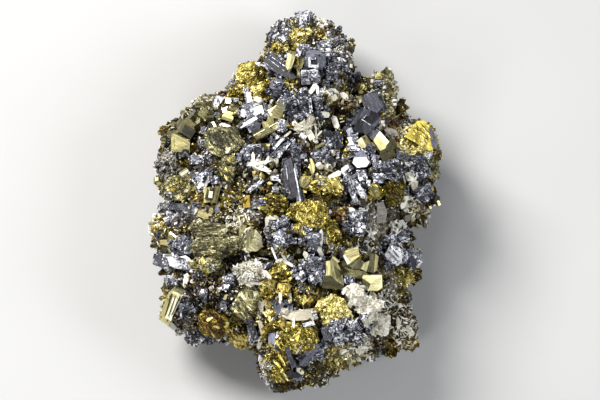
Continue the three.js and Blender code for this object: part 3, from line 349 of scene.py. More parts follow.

# Crystals drawn face by face, as they are seen square to the display face: the mineral, the brightness of
# each face between its lettered corners, which paints the light and shade each face showed, and the
# corners from a on as column, row and rise in millimetres
FACETED = [
    ("pyrite", {"abcde": 0.5, "edgf": 0.95},
     [(345, 250, 0.9), (357.5, 246, 0.7), (359, 255.5, 1.0), (350, 262, 1.3), (344, 253.5, 1.1),
      (342.8, 255.3, 0.5), (347, 263.8, 0.6)]),
    ("pyrite", {"abf": 0.45, "bcdef": 0.34, "dghe": 0.74, "gijkh": 0.4, "jlmk": 0.7},
     [(347.5, 264, 0.4), (359, 256.5, 0.8), (361, 259, 1.0), (364, 262, 1.2), (360, 268, 0.9),
      (352, 268, 0.6), (369, 260, 1.1), (366, 271, 0.7), (369, 253, 0.7), (375, 253.5, 0.5),
      (373, 272, 0.4), (378, 256, 0.3), (376, 270, 0.2)]),
    ("pyrite", {"abcdefg": 0.82, "agfh": 0.3},
     [(361.5, 277, 0.9), (362.5, 274.5, 0.9), (381, 274, 0.9), (381.5, 286, 1.2), (377, 290, 0.9),
      (367, 289.7, 0.8), (370, 283, 1.3), (362.5, 288, 0.4)]),
    ("pyrite", {"abcd": 0.68, "befghijc": 0.48, "cjiklmd": 0.26, "enof": 0.75},
     [(325.5, 260.5, 0.9), (330, 260, 1.5), (330, 274.5, 1.3), (325.5, 274.7, 0.8), (331.5, 257, 1.3),
      (337, 262, 1.1), (341, 270, 0.8), (343, 279, 0.6), (343.5, 285, 0.5), (336, 280, 1.0),
      (341, 288.5, 0.1), (322, 287, 0.0), (321, 282, 0.2), (333, 255.5, 0.8), (339.5, 261, 0.7)]),
    ("pyrite", {"abcd": 0.92, "dcgfe": 0.62, "bhijkgc": 0.22, "fgklmn": 0.12},
     [(379.5, 131, 0.9), (389, 142, 1.4), (386, 145.5, 1.5), (376, 136, 1.0), (373, 141, 0.5),
      (380, 151, 0.9), (385, 148.5, 1.4), (391, 138, 1.0), (396, 141, 0.7), (395, 148, 0.6),
      (390, 152, 0.9), (390, 158, 0.3), (383, 162, 0.0), (379, 156, 0.3)]),
    ("pyrite", {"abcde": 0.88, "bfgc": 0.5},
     [(358, 140, 0.6), (361, 137.5, 1.0), (367, 147.3, 1.0), (362, 149, 0.5), (358, 147, 0.4),
      (366, 134.5, 0.6), (373, 146, 0.5)]),
    ("pyrite", {"abcd": 0.02, "fadge": 0.14},
     [(185, 124, 1.0), (196, 131, 0.7), (190.5, 139, 0.9), (181, 133, 1.3), (176, 122, 0.4),
      (181, 117, 0.3), (177, 131, 0.8)]),
    ("pyrite", {"bcdehg": 0.56, "abghf": 0.65},
     [(171, 139, 0.3), (174, 133.5, 0.6), (188, 140, 1.1), (190, 143, 1.0), (189.5, 149, 0.5),
      (172, 149.5, 0.1), (173.5, 140, 0.8), (175, 149.5, 0.5)]),
    ("pyrite", {"abcde": 0.32},
     [(167, 131, 0.2), (176, 130, 0.5), (178, 133, 0.6), (174, 138, 0.3), (168, 138, 0.1)]),
    ("pyrite", {"abcde": 0.4, "bfgc": 0.28},
     [(271, 112, 0.6), (275, 108, 0.6), (283, 113, 0.8), (281, 118.5, 0.5), (274, 118.5, 0.7),
      (280, 101, 0.2), (286, 106, 0.3)]),
    ("pyrite", {"abcde": 0.42, "efgd": 0.5},
     [(268, 116, 0.4), (273, 116, 0.5), (274.5, 123, 0.4), (271, 127.5, 0.2), (266.5, 122, 0.5),
      (261, 121, 0.2), (264, 129, 0.1)]),
    ("pyrite", {"abcd": 0.32},
     [(253, 134, 0.2), (268.5, 127, 0.5), (272.5, 130, 0.5), (257, 139, 0.2)]),
    ("pyrite", {"abhg": 0.56, "bcih": 0.62, "cdji": 0.75, "dekj": 0.9, "eflk": 1.0},
     [(160.8, 314, 0.1), (162.8, 317, 0.4), (165, 317.5, 0.4), (167, 318, 0.8), (171.5, 320.5, 0.9),
      (174, 314, 0.6), (169, 292, 0.2), (171, 291, 0.5), (172.8, 290.5, 0.4), (174.5, 291, 0.9),
      (179, 292.5, 1.0), (183, 295, 0.6)]),
    ("pyrite", {"abcdefg": 0.74, "bhijedc": 0.72},
     [(289.5, 53, 0.5), (291.5, 54, 0.9), (291, 60, 1.1), (289.5, 66, 0.9), (287.5, 70, 0.5),
      (285.5, 66, 0.2), (286, 61, 0.3), (295, 55.5, 0.4), (294, 61, 0.5), (291, 68, 0.4)]),
    ("pyrite", {"abcd": 0.5, "befghic": 0.42},
     [(159.5, 240, 0.5), (167, 239.5, 0.9), (167, 245.5, 0.8), (160, 244.7, 0.3), (168, 235.5, 0.4),
      (173, 235, 0.3), (176.5, 239, 0.3), (174, 244, 0.3), (170, 248, 0.1)]),
    ("pyrite", {"abcdeg": 0.66, "agefh": 0.66},
     [(309.5, 158, 0.2), (312, 159, 0.4), (314.5, 165, 0.5), (315, 170, 0.4), (313, 174.5, 0.1),
      (311, 174, 0.1), (311.5, 166, 0.9), (308.8, 166, 0.3)]),
    ("pyrite", {"abcde": 0.56, "aedfgh": 0.46},
     [(302, 176.5, 0.4), (309.5, 176, 0.5), (310, 182, 0.4), (308, 184.5, 0.6), (303.5, 179, 0.9),
      (305, 189, 0.2), (300.5, 186.5, 0.3), (298, 181.5, 0.2)]),
    ("pyrite", {"abcdefg": 0.5},
     [(198.5, 211, 0.4), (205, 208.5, 0.6), (213.5, 207.5, 0.4), (214, 212, 0.4), (209.5, 217.5, 0.5),
      (207, 219.5, 0.2), (198, 216, 0.3)]),
    ("pyrite", {"abcdef": 0.42},
     [(369, 189, 0.2), (373, 186.5, 0.3), (378, 188, 0.3), (379, 193.5, 0.3), (376, 198.5, 0.2),
      (371, 195.5, 0.4)]),
    ("galena", {"bcdef": 1.0, "abfgh": 1.0},
     [(384, 254, 0.4), (389, 248.5, 0.7), (396, 250, 1.0), (402, 253.5, 0.9), (401, 262, 0.8),
      (398, 265, 0.7), (391, 264, 0.8), (386, 259.5, 0.6)]),
    ("galena", {"abcdef": 0.26},
     [(404.5, 253, 0.5), (408, 250, 0.9), (417, 261, 0.9), (415.5, 271, 0.5), (407, 272, 0.3),
      (404, 262, 0.3)]),
    ("galena", {"abcdef": 0.12, "bghic": 0.36, "gjklih": 0.03, "lkmnop": 0.2, "cilpoqrd": 0.08,
               "kjstm": 0.36},
     [(361, 108, 0.9), (364, 109, 0.9), (359, 118, 1.0), (355, 125, 0.9), (350.5, 124, 0.5),
      (356, 116, 0.7), (371, 110.5, 0.8), (369, 116, 0.7), (363, 118, 0.8), (380, 116.5, 0.6),
      (372, 124.5, 0.9), (365, 121, 0.8), (371, 128, 0.9), (366.5, 136, 0.6), (363, 133, 0.6),
      (363.5, 124, 0.6), (357, 133, 0.5), (352.5, 129, 0.5), (381.5, 119, 0.3), (377, 125, 0.4)]),
    ("galena", {"abcdef": 0.44},
     [(371, 129.5, 0.5), (376, 131, 0.4), (378.5, 136, 0.2), (373, 140.5, 0.2), (369, 138, 0.3),
      (367, 133.5, 0.4)]),
    ("galena", {"abcdef": 0.68},
     [(350.5, 124, 0.4), (346, 131, 0.2), (348, 135, 0.2), (352, 138, 0.3), (354, 134, 0.5),
      (352, 129, 0.6)]),
    ("galena", {"abcdef": 0.36},
     [(364, 95, 0.3), (369, 92.5, 0.4), (376, 93, 0.5), (384, 106, 0.4), (377, 113, 0.2),
      (366, 108, 0.4)]),
    ("galena", {"abch": 0.55, "hcdefg": 1.0},
     [(359, 150, 0.4), (364, 151, 0.6), (366, 157, 0.9), (369, 163, 0.6), (366, 167, 0.4),
      (357, 168, 0.5), (352, 163, 0.4), (354, 158, 0.8)]),
    ("galena", {"abcde": 1.0},
     [(246, 92, 0.4), (250, 92, 0.6), (254, 105.5, 0.7), (250, 106, 0.4), (247, 100, 0.4)]),
    ("galena", {"abcde": 1.0},
     [(255, 107, 0.4), (262, 105, 0.6), (265, 115.5, 0.6), (260, 118, 0.3), (253.5, 115, 0.4)]),
    ("galena", {"abcde": 0.95},
     [(241, 109, 1.0), (247.5, 108, 1.2), (247, 114, 1.1), (244.5, 118, 0.9), (241, 116, 0.9)]),
    ("galena", {"abcd": 0.98},
     [(238.5, 125, 0.3), (256, 116.5, 0.6), (258, 119, 0.5), (241, 128.5, 0.2)]),
    ("galena", {"abf": 0.6, "bcdef": 0.42, "aef": 0.5},
     [(247, 125, 0.2), (255, 121, 0.5), (261, 123.5, 0.4), (260, 131, 0.2), (252, 133.5, 0.2),
      (253, 126, 0.7)]),
    ("galena", {"abch": 1.0, "cdefgh": 1.0},
     [(167, 256.5, 1.1), (171, 256.3, 1.2), (177, 259.5, 1.3), (187, 262.5, 1.4), (189, 266, 1.2),
      (187, 269, 0.9), (178, 268.5, 0.9), (170, 265.5, 1.0)]),
    ("galena", {"abcdefg": 0.97},
     [(180, 256.5, 0.8), (186, 255, 1.0), (190, 257.5, 1.1), (192, 260, 0.9), (190, 263, 0.8),
      (187.5, 261.5, 1.0), (186.5, 258.5, 1.0)]),
    ("galena", {"abcdh": 0.4, "defgh": 0.44},
     [(153.8, 261, 0.1), (157, 255, 0.4), (159, 253, 0.4), (162, 257, 0.6), (167, 262, 0.3),
      (164, 266, 0.3), (162.5, 269.5, 0.0), (158, 264, 0.5)]),
    ("galena", {"abcdefg": 0.06, "bhijklmdc": 0.5, "nobap": 0.1},
     [(284, 176, 0.6), (294.5, 172, 0.8), (297, 186, 0.9), (296.5, 197, 0.7), (290, 198.5, 0.4),
      (286, 192, 0.5), (283.5, 183, 0.5), (296, 171, 0.5), (299, 184, 0.5), (301.5, 198, 0.4),
      (305.5, 206, 0.3), (301, 211, 0.3), (296.5, 205, 0.4), (285, 161, 0.3), (291, 158, 0.4),
      (283.5, 168, 0.4)]),
    ("galena", {"abcdefg": 0.42},
     [(272, 82, 0.3), (276, 79, 0.4), (281, 80, 0.4), (284, 83.5, 0.4), (280, 90.5, 0.2),
      (273, 90.5, 0.2), (269, 86.5, 0.3)]),
    ("galena", {"abcdgh": 0.56, "defg": 0.48},
     [(304, 343, 0.4), (319.5, 342.5, 0.4), (320, 347, 0.5), (312, 355, 0.8), (302.5, 365, 0.3),
      (300, 362.5, 0.3), (306, 354, 0.6), (304.5, 348, 0.5)]),
    ("galena", {"abcd": 0.52},
     [(317, 358, 0.2), (322, 352.5, 0.3), (324, 356, 0.2), (321, 361, 0.1)]),
    ("galena", {"abcdef": 0.4},
     [(285.5, 345, 0.4), (289.5, 344.5, 0.5), (291, 353, 0.6), (297, 365, 0.5), (292.5, 366.5, 0.3),
      (287.5, 356, 0.4)]),
    ("galena", {"abcde": 0.16, "cfghd": 0.1},
     [(286, 370, 1.6), (291, 368, 1.8), (295, 371, 2.0), (293, 376.5, 1.7), (287, 375, 1.5),
      (297, 367.5, 1.8), (302.5, 370, 1.7), (302, 375.5, 1.5)]),
    ("galena", {"abcdef": 0.44},
     [(275.5, 301, 0.4), (281, 298.5, 0.5), (284, 303, 0.6), (283, 311, 0.4), (279, 313, 0.3),
      (273.5, 309, 0.2)]),
    ("galena", {"abcd": 0.6},
     [(268.5, 332, 0.3), (275.5, 331.5, 0.4), (275.8, 343, 0.3), (268.8, 343, 0.2)]),
    ("galena", {"abcdefg": 0.5},
     [(217, 202, 0.2), (220.5, 201.5, 0.3), (219.5, 208, 0.4), (223, 216, 0.3), (220, 218.5, 0.2),
      (216, 216, 0.3), (215, 210, 0.3)]),
    ("quartz", {"abf": 0.6, "bcdef": 0.56},
     [(384, 129, 0.3), (391, 128, 0.5), (398, 131.5, 0.5), (399, 136, 0.3), (396, 141, 0.2),
      (388, 137, 0.7)]),
    ("calcite", {"abcdef": 1.0},
     [(403, 197, 1.0), (407, 195.5, 1.1), (408.5, 198, 1.1), (404.5, 208, 1.1), (401, 209, 0.9),
      (400, 205.5, 0.9)]),
    ("calcite", {"abcij": 0.14, "cdefghi": 0.08},
     [(281.5, 314, 0.2), (289.5, 311.5, 0.4), (300, 310, 0.5), (306, 308.5, 0.5), (314, 309.5, 0.5),
      (316, 312, 0.4), (313, 319.5, 0.3), (307, 318.5, 0.4), (294, 319.5, 0.3), (286, 317, 0.2)]),
    ("calcite", {"abcgh": 0.55, "cdefg": 0.55},
     [(404.5, 173, 0.3), (410, 172, 0.5), (414, 178, 0.6), (418, 183.5, 0.3), (417, 187.5, 0.2),
      (413, 191.5, 0.1), (410, 184, 0.5), (406, 179, 0.4)]),
    ("calcite", {"abcd": 0.3},
     [(253, 99, 0.3), (260, 98, 0.4), (261.5, 104, 0.3), (255, 106, 0.3)]),
    ("chalcopyrite", {"bcdefghi": 0.78, "abijk": 0.7},
     [(412, 127, 0.3), (417, 121, 0.3), (424, 120, 0.5), (429, 126, 0.6), (430, 136, 0.7),
      (431, 143, 0.6), (433, 149, 0.4), (429, 151, 0.5), (424, 147, 0.9), (412, 141, 0.8),
      (405, 137, 0.5)]),
    ("galena", {"abcdef": 0.58},
     [(429, 127, 1.4), (434, 131, 1.3), (438, 143, 1.1), (437, 149, 1.1), (432, 146, 1.5),
      (430, 137, 1.6)]),
    ("galena", {"abcgh": 0.06, "cdefg": 0.2},
     [(263, 60, 1.7), (270, 53.5, 1.8), (284, 62, 1.9), (292, 72, 1.8), (297, 77.5, 1.5), (291, 80, 1.4),
      (279, 74, 1.7), (268, 68, 1.6)]),
    ("galena", {"abcdkji": 0.54, "deflk": 0.42, "aigh": 0.4, "jklm": 0.02, "ijmg": 0.92, "mlfg": 0.92},
     [(305.5, 51.5, 0.6), (312, 50, 0.7), (322, 50.5, 0.7), (326, 54, 0.6), (325.5, 67, 0.5),
      (318.5, 68, 0.6), (308.5, 67.5, 0.6), (306, 64, 0.5), (308.3, 57.3, 0.7), (310.6, 57.3, 0.7),
      (317.5, 57.3, 0.7), (317.5, 65, 0.6), (310.8, 64.6, 0.6)]),
    ("pyrite", {"abcd": 0.76},
     [(205, 188, 1.1), (210, 187.5, 1.2), (211, 202, 1.0), (204, 203, 0.9)]),
    ("tarnish", {"abcd": 0.52},
     [(243.5, 196, 0.4), (250, 195, 0.5), (250.5, 207, 0.4), (243.5, 208, 0.3)]),
    ("quartz", {"abcde": 0.8},
     [(397, 221, 0.3), (403, 219.5, 0.4), (407.5, 226, 0.3), (405, 231, 0.1), (398.5, 230, 0.2)]),
    ("quartz", {"abcde": 0.4},
     [(404, 213, 0.2), (407.5, 211, 0.3), (412, 217, 0.2), (410, 222, 0.1), (405, 221, 0.1)]),
    ("quartz", {"abcf": 0.5, "fcde": 0.5},
     [(376, 203, 0.3), (383, 202, 0.4), (387, 212, 0.4), (385, 223, 0.2), (376, 223, 0.1),
      (377, 212, 0.5)]),
    ("olive", {"abgf": 0.5, "bcdg": 0.95, "gdef": 0.8},
     [(247, 232, 0.2), (256, 229, 0.4), (262, 236, 0.3), (263, 246, 0.2), (257, 251, 0.2),
      (247, 250, 0.2), (254, 240, 0.8)]),
]

# Bars, blades and needles: column and row of both ends, and width
BARS = {
    ("galena", FLASH): [
        (329, 30, 327, 35, 0.7), (309, 59, 316, 58, 0.5), (309, 66, 318, 67, 0.55),
        (318, 63, 318, 68, 0.45), (264, 108, 271, 106, 0.9), (273, 133, 279, 139, 0.8),
        (273, 150, 284, 138, 0.7), (278, 180, 284, 185, 0.5), (249, 191, 262, 181, 0.8),
        (349, 138, 353, 148, 0.8), (352, 148, 360, 150, 0.8), (357, 170, 362, 181, 1.0),
        (357, 185, 363, 197, 1.2), (184, 240, 189, 243, 0.6), (285, 228, 284, 237, 0.8),
        (361, 119, 371, 126, 0.22), (363, 119, 366, 115, 0.22), (313, 310, 316, 318, 1.2),
        (314, 321, 303, 324, 1.1),
    ],
    ("galena", PALE): [
        (285, 99, 292, 108, 0.5), (293, 96, 299, 104, 0.5), (300, 120, 306, 112, 0.8),
        (309, 98, 311, 114, 0.9), (309, 72, 315, 72, 0.8), (262, 269, 270, 263, 0.4),
        (152, 261, 161, 266, 0.4), (156, 254, 152, 261, 0.4), (426, 176, 432, 172, 0.4),
        (408, 250, 417, 261, 0.3), (390, 240, 402, 252, 0.5), (388, 243, 398, 255, 0.4),
    ],
    ("galena", MID): [
        (335, 54, 337, 74, 1.2), (277, 157, 290, 143, 0.9), (345, 175, 352, 190, 1.0),
        (350, 180, 358, 195, 1.0), (293, 167, 302, 203, 0.3), (286, 166, 288, 180, 0.25),
        (264, 62, 280, 75, 0.14), (267, 58, 286, 72, 0.14), (272, 57, 286, 67, 0.14),
        (172, 254, 182, 257, 0.7), (251, 318, 255, 338, 1.7),
    ],
    ("galena", DARK): [
        (309, 47, 318, 47, 0.5), (255, 125, 247, 127, 0.5), (176, 258, 185, 260, 0.5),
        (388, 251, 396, 259, 0.3), (384, 256, 391, 263, 0.3), (392, 250, 399, 257, 0.25),
        (393, 239, 404, 252, 0.5),
    ],
    ("pyrite", FLASH): [
        (382, 123, 378, 132, 0.6),
    ],
    ("pyrite", PALE): [
        (194, 122, 199, 116, 0.5), (315, 149, 324, 143, 0.8), (170, 232, 177, 238, 0.4),
        (204, 129, 199, 133, 0.5), (167, 191, 172, 200, 0.4),
    ],
    ("pyrite", MID): [
        (213, 122, 216, 128, 0.6), (226, 113, 240, 119, 0.6),
    ],
    ("pyrite", DARK): [
        (165.2, 316, 173, 292, 0.3), (169, 317, 176.5, 292.5, 0.2), (172.5, 316, 181, 294, 0.25),
    ],
    ("chalcopyrite", DARK): [
        (416, 124, 429, 140, 0.25), (420, 122, 434, 139, 0.25), (412, 128, 424, 145, 0.25),
        (411, 133, 418, 142, 0.25),
    ],
    ("chalcopyrite", PALE): [
        (421, 125, 434, 141, 0.25), (414, 128, 427, 143, 0.2), (410, 135, 416, 143, 0.3),
        (425, 122, 433, 131, 0.25), (226, 316, 229, 330, 0.9), (278, 352, 286, 364, 0.7),
        (274, 357, 283, 370, 0.8), (280, 366, 288, 379, 0.8), (415, 130, 428, 143, 0.3),
        (418, 126, 432, 139, 0.3), (411, 131, 421, 142, 0.3), (423, 124, 433, 133, 0.25),
    ],
    ("olive", MID): [
        (304, 53, 298, 62, 0.9), (303, 58, 300, 70, 0.9), (298, 66, 299, 78, 0.8),
    ],
    ("calcite", FLASH): [
        (316, 84, 309, 95, 1.2), (317, 86, 318, 95, 0.7), (322, 85, 327, 90, 0.8),
        (327, 90, 336, 90, 0.9), (336, 91, 339, 95, 0.8), (340, 93, 352, 100, 1.4),
        (341, 101, 345, 103, 0.9), (253, 152, 254, 168, 0.8), (247, 166, 272, 161, 0.7),
        (256, 168, 272, 172, 0.7), (265, 165, 269, 157, 0.7), (270, 161, 279, 156, 1.0),
        (209, 176, 204, 193, 0.6), (348, 208, 363, 217, 1.1), (368, 230, 374, 240, 0.8),
        (367, 236, 376, 232, 0.8), (328, 180, 340, 172, 1.6), (341, 172, 348, 166, 1.2),
    ],
    ("calcite", PALE): [
        (220, 125, 231, 127, 1.2), (226, 153, 231, 148, 0.8), (409, 160, 412, 170, 1.4),
        (403, 175, 405, 183, 0.5), (407, 179, 418, 182, 0.6), (413, 175, 412, 187, 0.6),
        (408, 185, 418, 177, 0.6), (256, 258, 257, 266, 0.6), (257, 257, 269, 259, 0.4),
        (263, 270, 272, 278, 1.2), (250, 282, 262, 283, 0.7), (318, 246, 322, 256, 1.2),
        (321, 229, 321, 245, 0.9), (304, 250, 309, 263, 1.2), (276, 261, 284, 259, 0.9),
        (284, 260, 294, 266, 0.9), (281, 252, 288, 262, 0.7), (271, 245, 277, 260, 0.5),
        (188, 273, 185, 287, 1.3), (356, 211, 368, 208, 1.2), (293, 316, 294, 327, 0.7),
        (281, 291, 280, 303, 0.8), (281, 291, 290, 291, 0.8), (289.5, 291, 290, 303, 1.0),
        (263, 297, 259, 318, 1.4), (260, 318, 264, 336, 1.2), (262, 334, 259, 348, 1.2),
        (293, 355, 297, 366, 0.6), (297, 366, 303, 372, 1.2), (167, 321, 176, 329, 1.4),
        (176, 330, 186, 334, 0.8), (189, 337, 200, 343, 0.9), (357, 352, 364, 345, 2.0),
        (353, 362, 360, 366, 1.4), (358, 368, 351, 360, 0.8), (406, 325, 412, 335, 1.6),
        (396, 316, 399, 330, 0.9),
    ],
    ("calcite", MID): [
        (255, 98, 262, 102, 1.4), (319, 115, 329, 115, 1.6), (333, 116, 338, 130, 1.6),
        (284, 137, 291, 132, 0.6), (268, 217, 279, 218, 1.2), (267, 216, 268, 232, 1.0),
        (406, 150, 410, 158, 1.8), (302, 343, 296, 352, 0.6),
    ],
}

# Rosettes of thin calcite blades: column, row, longest blade and brightness
STARS = [
    (306, 128, 3.4, DARK), (316, 137, 3.0, MID), (299, 133, 2.4, MID), (327, 166, 2.4, PALE),
    (286, 257, 2.6, PALE), (371, 234, 2.0, PALE), (413, 180, 2.4, PALE), (323, 92, 1.6, PALE),
    (257, 260, 1.8, PALE), (348, 303, 2.0, PALE), (386, 312, 2.2, PALE),
]

# Rough grains by mineral, brightness and size: column and row
LUMPS = {
    ("chalcopyrite", PALE, 2.2): [
        (307, 28), (309, 32), (302, 34), (288, 34), (280, 46), (281, 50), (286, 84), (362, 88),
        (379, 76), (228, 170), (226, 178), (172, 190), (293, 121), (334, 186), (345, 146), (222, 206),
        (285, 268), (270, 284), (336, 231), (401, 274), (334, 358), (157, 226),
    ],
    ("chalcopyrite", PALE, 1.4): [
        (306, 37), (276, 48), (285, 44), (273, 42), (291, 86), (297, 83), (361, 92), (229, 160),
        (234, 156), (222, 173), (178, 180), (191, 181), (193, 190), (198, 192), (182, 197), (202, 196),
        (221, 195), (281, 168), (270, 184), (262, 189), (281, 188), (325, 193), (317, 178), (349, 155),
        (386, 111), (438, 148), (161, 224), (164, 220), (163, 228), (229, 203), (197, 265), (205, 268),
        (209, 271), (222, 278), (211, 283), (282, 210), (272, 210), (268, 206), (334, 239), (336, 249),
        (292, 272), (277, 272), (290, 277), (290, 291), (406, 280), (394, 281), (402, 140), (405, 146),
        (400, 148), (409, 150), (404, 152), (414, 152), (421, 153), (272, 316), (268, 310), (266, 322),
        (275, 326), (153, 228), (158, 222), (156, 231), (164, 229),
    ],
    # Bright grains painting light onto the wing's lower half, where it lies in shade
    ("chalcopyrite", FLASH, 2.4): [
        (403, 143), (408, 148), (413, 151), (418, 153), (400, 148), (424, 153), (405, 153), (411, 144),
        (429, 152),
    ],
    ("tarnish", 0.88, 2.2): [
        (155, 222), (160, 219), (163, 225), (158, 228), (153, 228), (273, 312), (268, 304), (283, 251),
    ],
    ("olive", MID, 2.0): [
        (341, 72), (360, 100), (386, 72), (391, 76), (383, 98), (322, 76), (273, 164), (170, 250),
        (193, 262), (215, 262), (371, 171), (327, 236), (287, 254), (252, 294), (250, 228), (430, 165),
        (429, 176), (385, 120), (353, 346), (299, 250), (312, 292),
    ],
    ("tarnish", PALE, 1.8): [
        (346, 93), (236, 162), (278, 130), (203, 260), (284, 290), (217, 326), (210, 318), (281, 317),
        (308, 302), (304, 296), (226, 327), (238, 311), (416, 341),
    ],
    ("quartz", MID, 2.2): [
        (264, 365), (266, 373), (268, 381), (262, 357), (196, 103), (204, 99), (212, 101), (333, 94),
        (337, 84), (386, 120), (330, 246), (366, 240), (362, 255),
    ],
    ("tarnish", MID, 2.4): [
        (262, 177), (268, 190), (256, 173), (344, 98), (347, 108), (296, 293), (308, 297), (318, 290),
    ],
    ("tarnish", 0.7, 4.2): [
        (270, 284), (272, 300), (285, 289), (268, 330), (288, 325), (270, 316),
    ],
    ("chalcopyrite", 0.6, 4.2): [
        (279, 322), (300, 300), (296, 334), (296, 230), (298, 64),
    ],
    ("quartz", MID, 1.5): [
        (287, 18), (280, 22), (293, 21), (168, 143), (181, 192), (192, 110), (348, 46), (412, 119),
        (195, 222), (250, 212), (384, 292), (189, 324), (196, 318),
    ],
    ("quartz", FLASH, 0.9): [
        (275, 24), (266, 42), (379, 89), (384, 92), (394, 163), (391, 160), (393, 110), (401, 128),
        (410, 124), (400, 199), (215, 143), (235, 213), (241, 222), (238, 227), (232, 218), (236, 232),
        (175, 245), (202, 283), (167, 290), (308, 292), (396, 221), (388, 289), (384, 303), (378, 300),
        (234, 303), (228, 312), (264, 370), (262, 362), (267, 383), (336, 373), (324, 379), (306, 383),
    ],
    ("calcite", PALE, 1.6): [
        (319, 17), (324, 19), (326, 24), (322, 26), (243, 266), (240, 281), (220, 289), (213, 288),
        (192, 270), (197, 174), (333, 153), (196, 212), (346, 38), (350, 53), (351, 66), (390, 326),
        (398, 341), (402, 329), (375, 299), (344, 291), (399, 305),
    ],
    ("sphalerite", MID, 1.6): [
        (390, 85), (391, 95), (392, 88), (394, 122), (399, 125), (404, 118), (197, 153), (186, 161),
        (192, 178), (326, 250), (327, 126), (339, 226), (343, 214), (180, 321), (393, 302), (408, 311),
        (409, 317), (387, 342), (378, 340), (399, 346), (308, 378), (228, 259), (227, 267), (352, 103),
        (348, 100), (354, 108), (348, 107), (329, 122), (333, 119),
    ],
}

# Where needles and grains lie thick on the display face: column, row, half width, half height and number
FIELDS = {
    "calcite": [
        (405, 325, 14, 22, 110), (388, 298, 10, 10, 50), (250, 272, 16, 11, 90), (364, 312, 20, 26, 40),
        (398, 226, 10, 6, 50), (412, 205, 9, 10, 60), (176, 122, 10, 12, 20), (344, 44, 8, 20, 40),
        (322, 18, 8, 6, 30), (235, 215, 12, 12, 40), (238, 226, 16, 12, 20), (360, 345, 14, 14, 50),
    ],
    "galena": [
        (297, 107, 14, 12, 60), (281, 234, 14, 16, 60), (355, 223, 13, 14, 120), (312, 270, 14, 12, 90),
        (415, 168, 12, 10, 90), (421, 191, 10, 10, 80), (390, 170, 16, 10, 80), (320, 60, 16, 16, 60),
        (338, 36, 10, 14, 60), (280, 30, 10, 9, 60), (205, 292, 26, 14, 50), (345, 328, 16, 12, 120),
    ],
    "chalcopyrite": [
        (407, 146, 10, 10, 60), (345, 150, 7, 8, 30), (333, 309, 20, 14, 80), (180, 190, 20, 12, 120),
        (338, 360, 14, 8, 80), (208, 264, 18, 9, 60), (272, 318, 12, 14, 120), (288, 290, 22, 11, 220),
        (284, 326, 20, 8, 60), (262, 308, 8, 10, 40), (296, 231, 9, 7, 60), (287, 42, 12, 7, 60),
        (268, 340, 8, 12, 60), (411, 146, 10, 8, 60), (283, 250, 8, 5, 40), (308, 369, 9, 7, 60),
        (158, 224, 7, 7, 60), (354, 255, 8, 5, 40), (270, 229, 6, 6, 20), (247, 188, 7, 6, 30),
        (234, 321, 8, 7, 30), (274, 330, 8, 12, 50),
    ],
    # The first sphalerite field lies in a dark hollow, where it also paints the shade
    "sphalerite": [
        (205, 289, 24, 12, 240), (190, 322, 14, 8, 60), (300, 203, 8, 5, 40), (351, 102, 7, 8, 60),
    ],
    "quartz": [
        (266, 370, 7, 13, 120), (414, 120, 9, 5, 60), (404, 130, 6, 8, 50), (322, 178, 7, 7, 40),
        (231, 84, 7, 6, 30), (416, 122, 8, 5, 40),
    ],
}
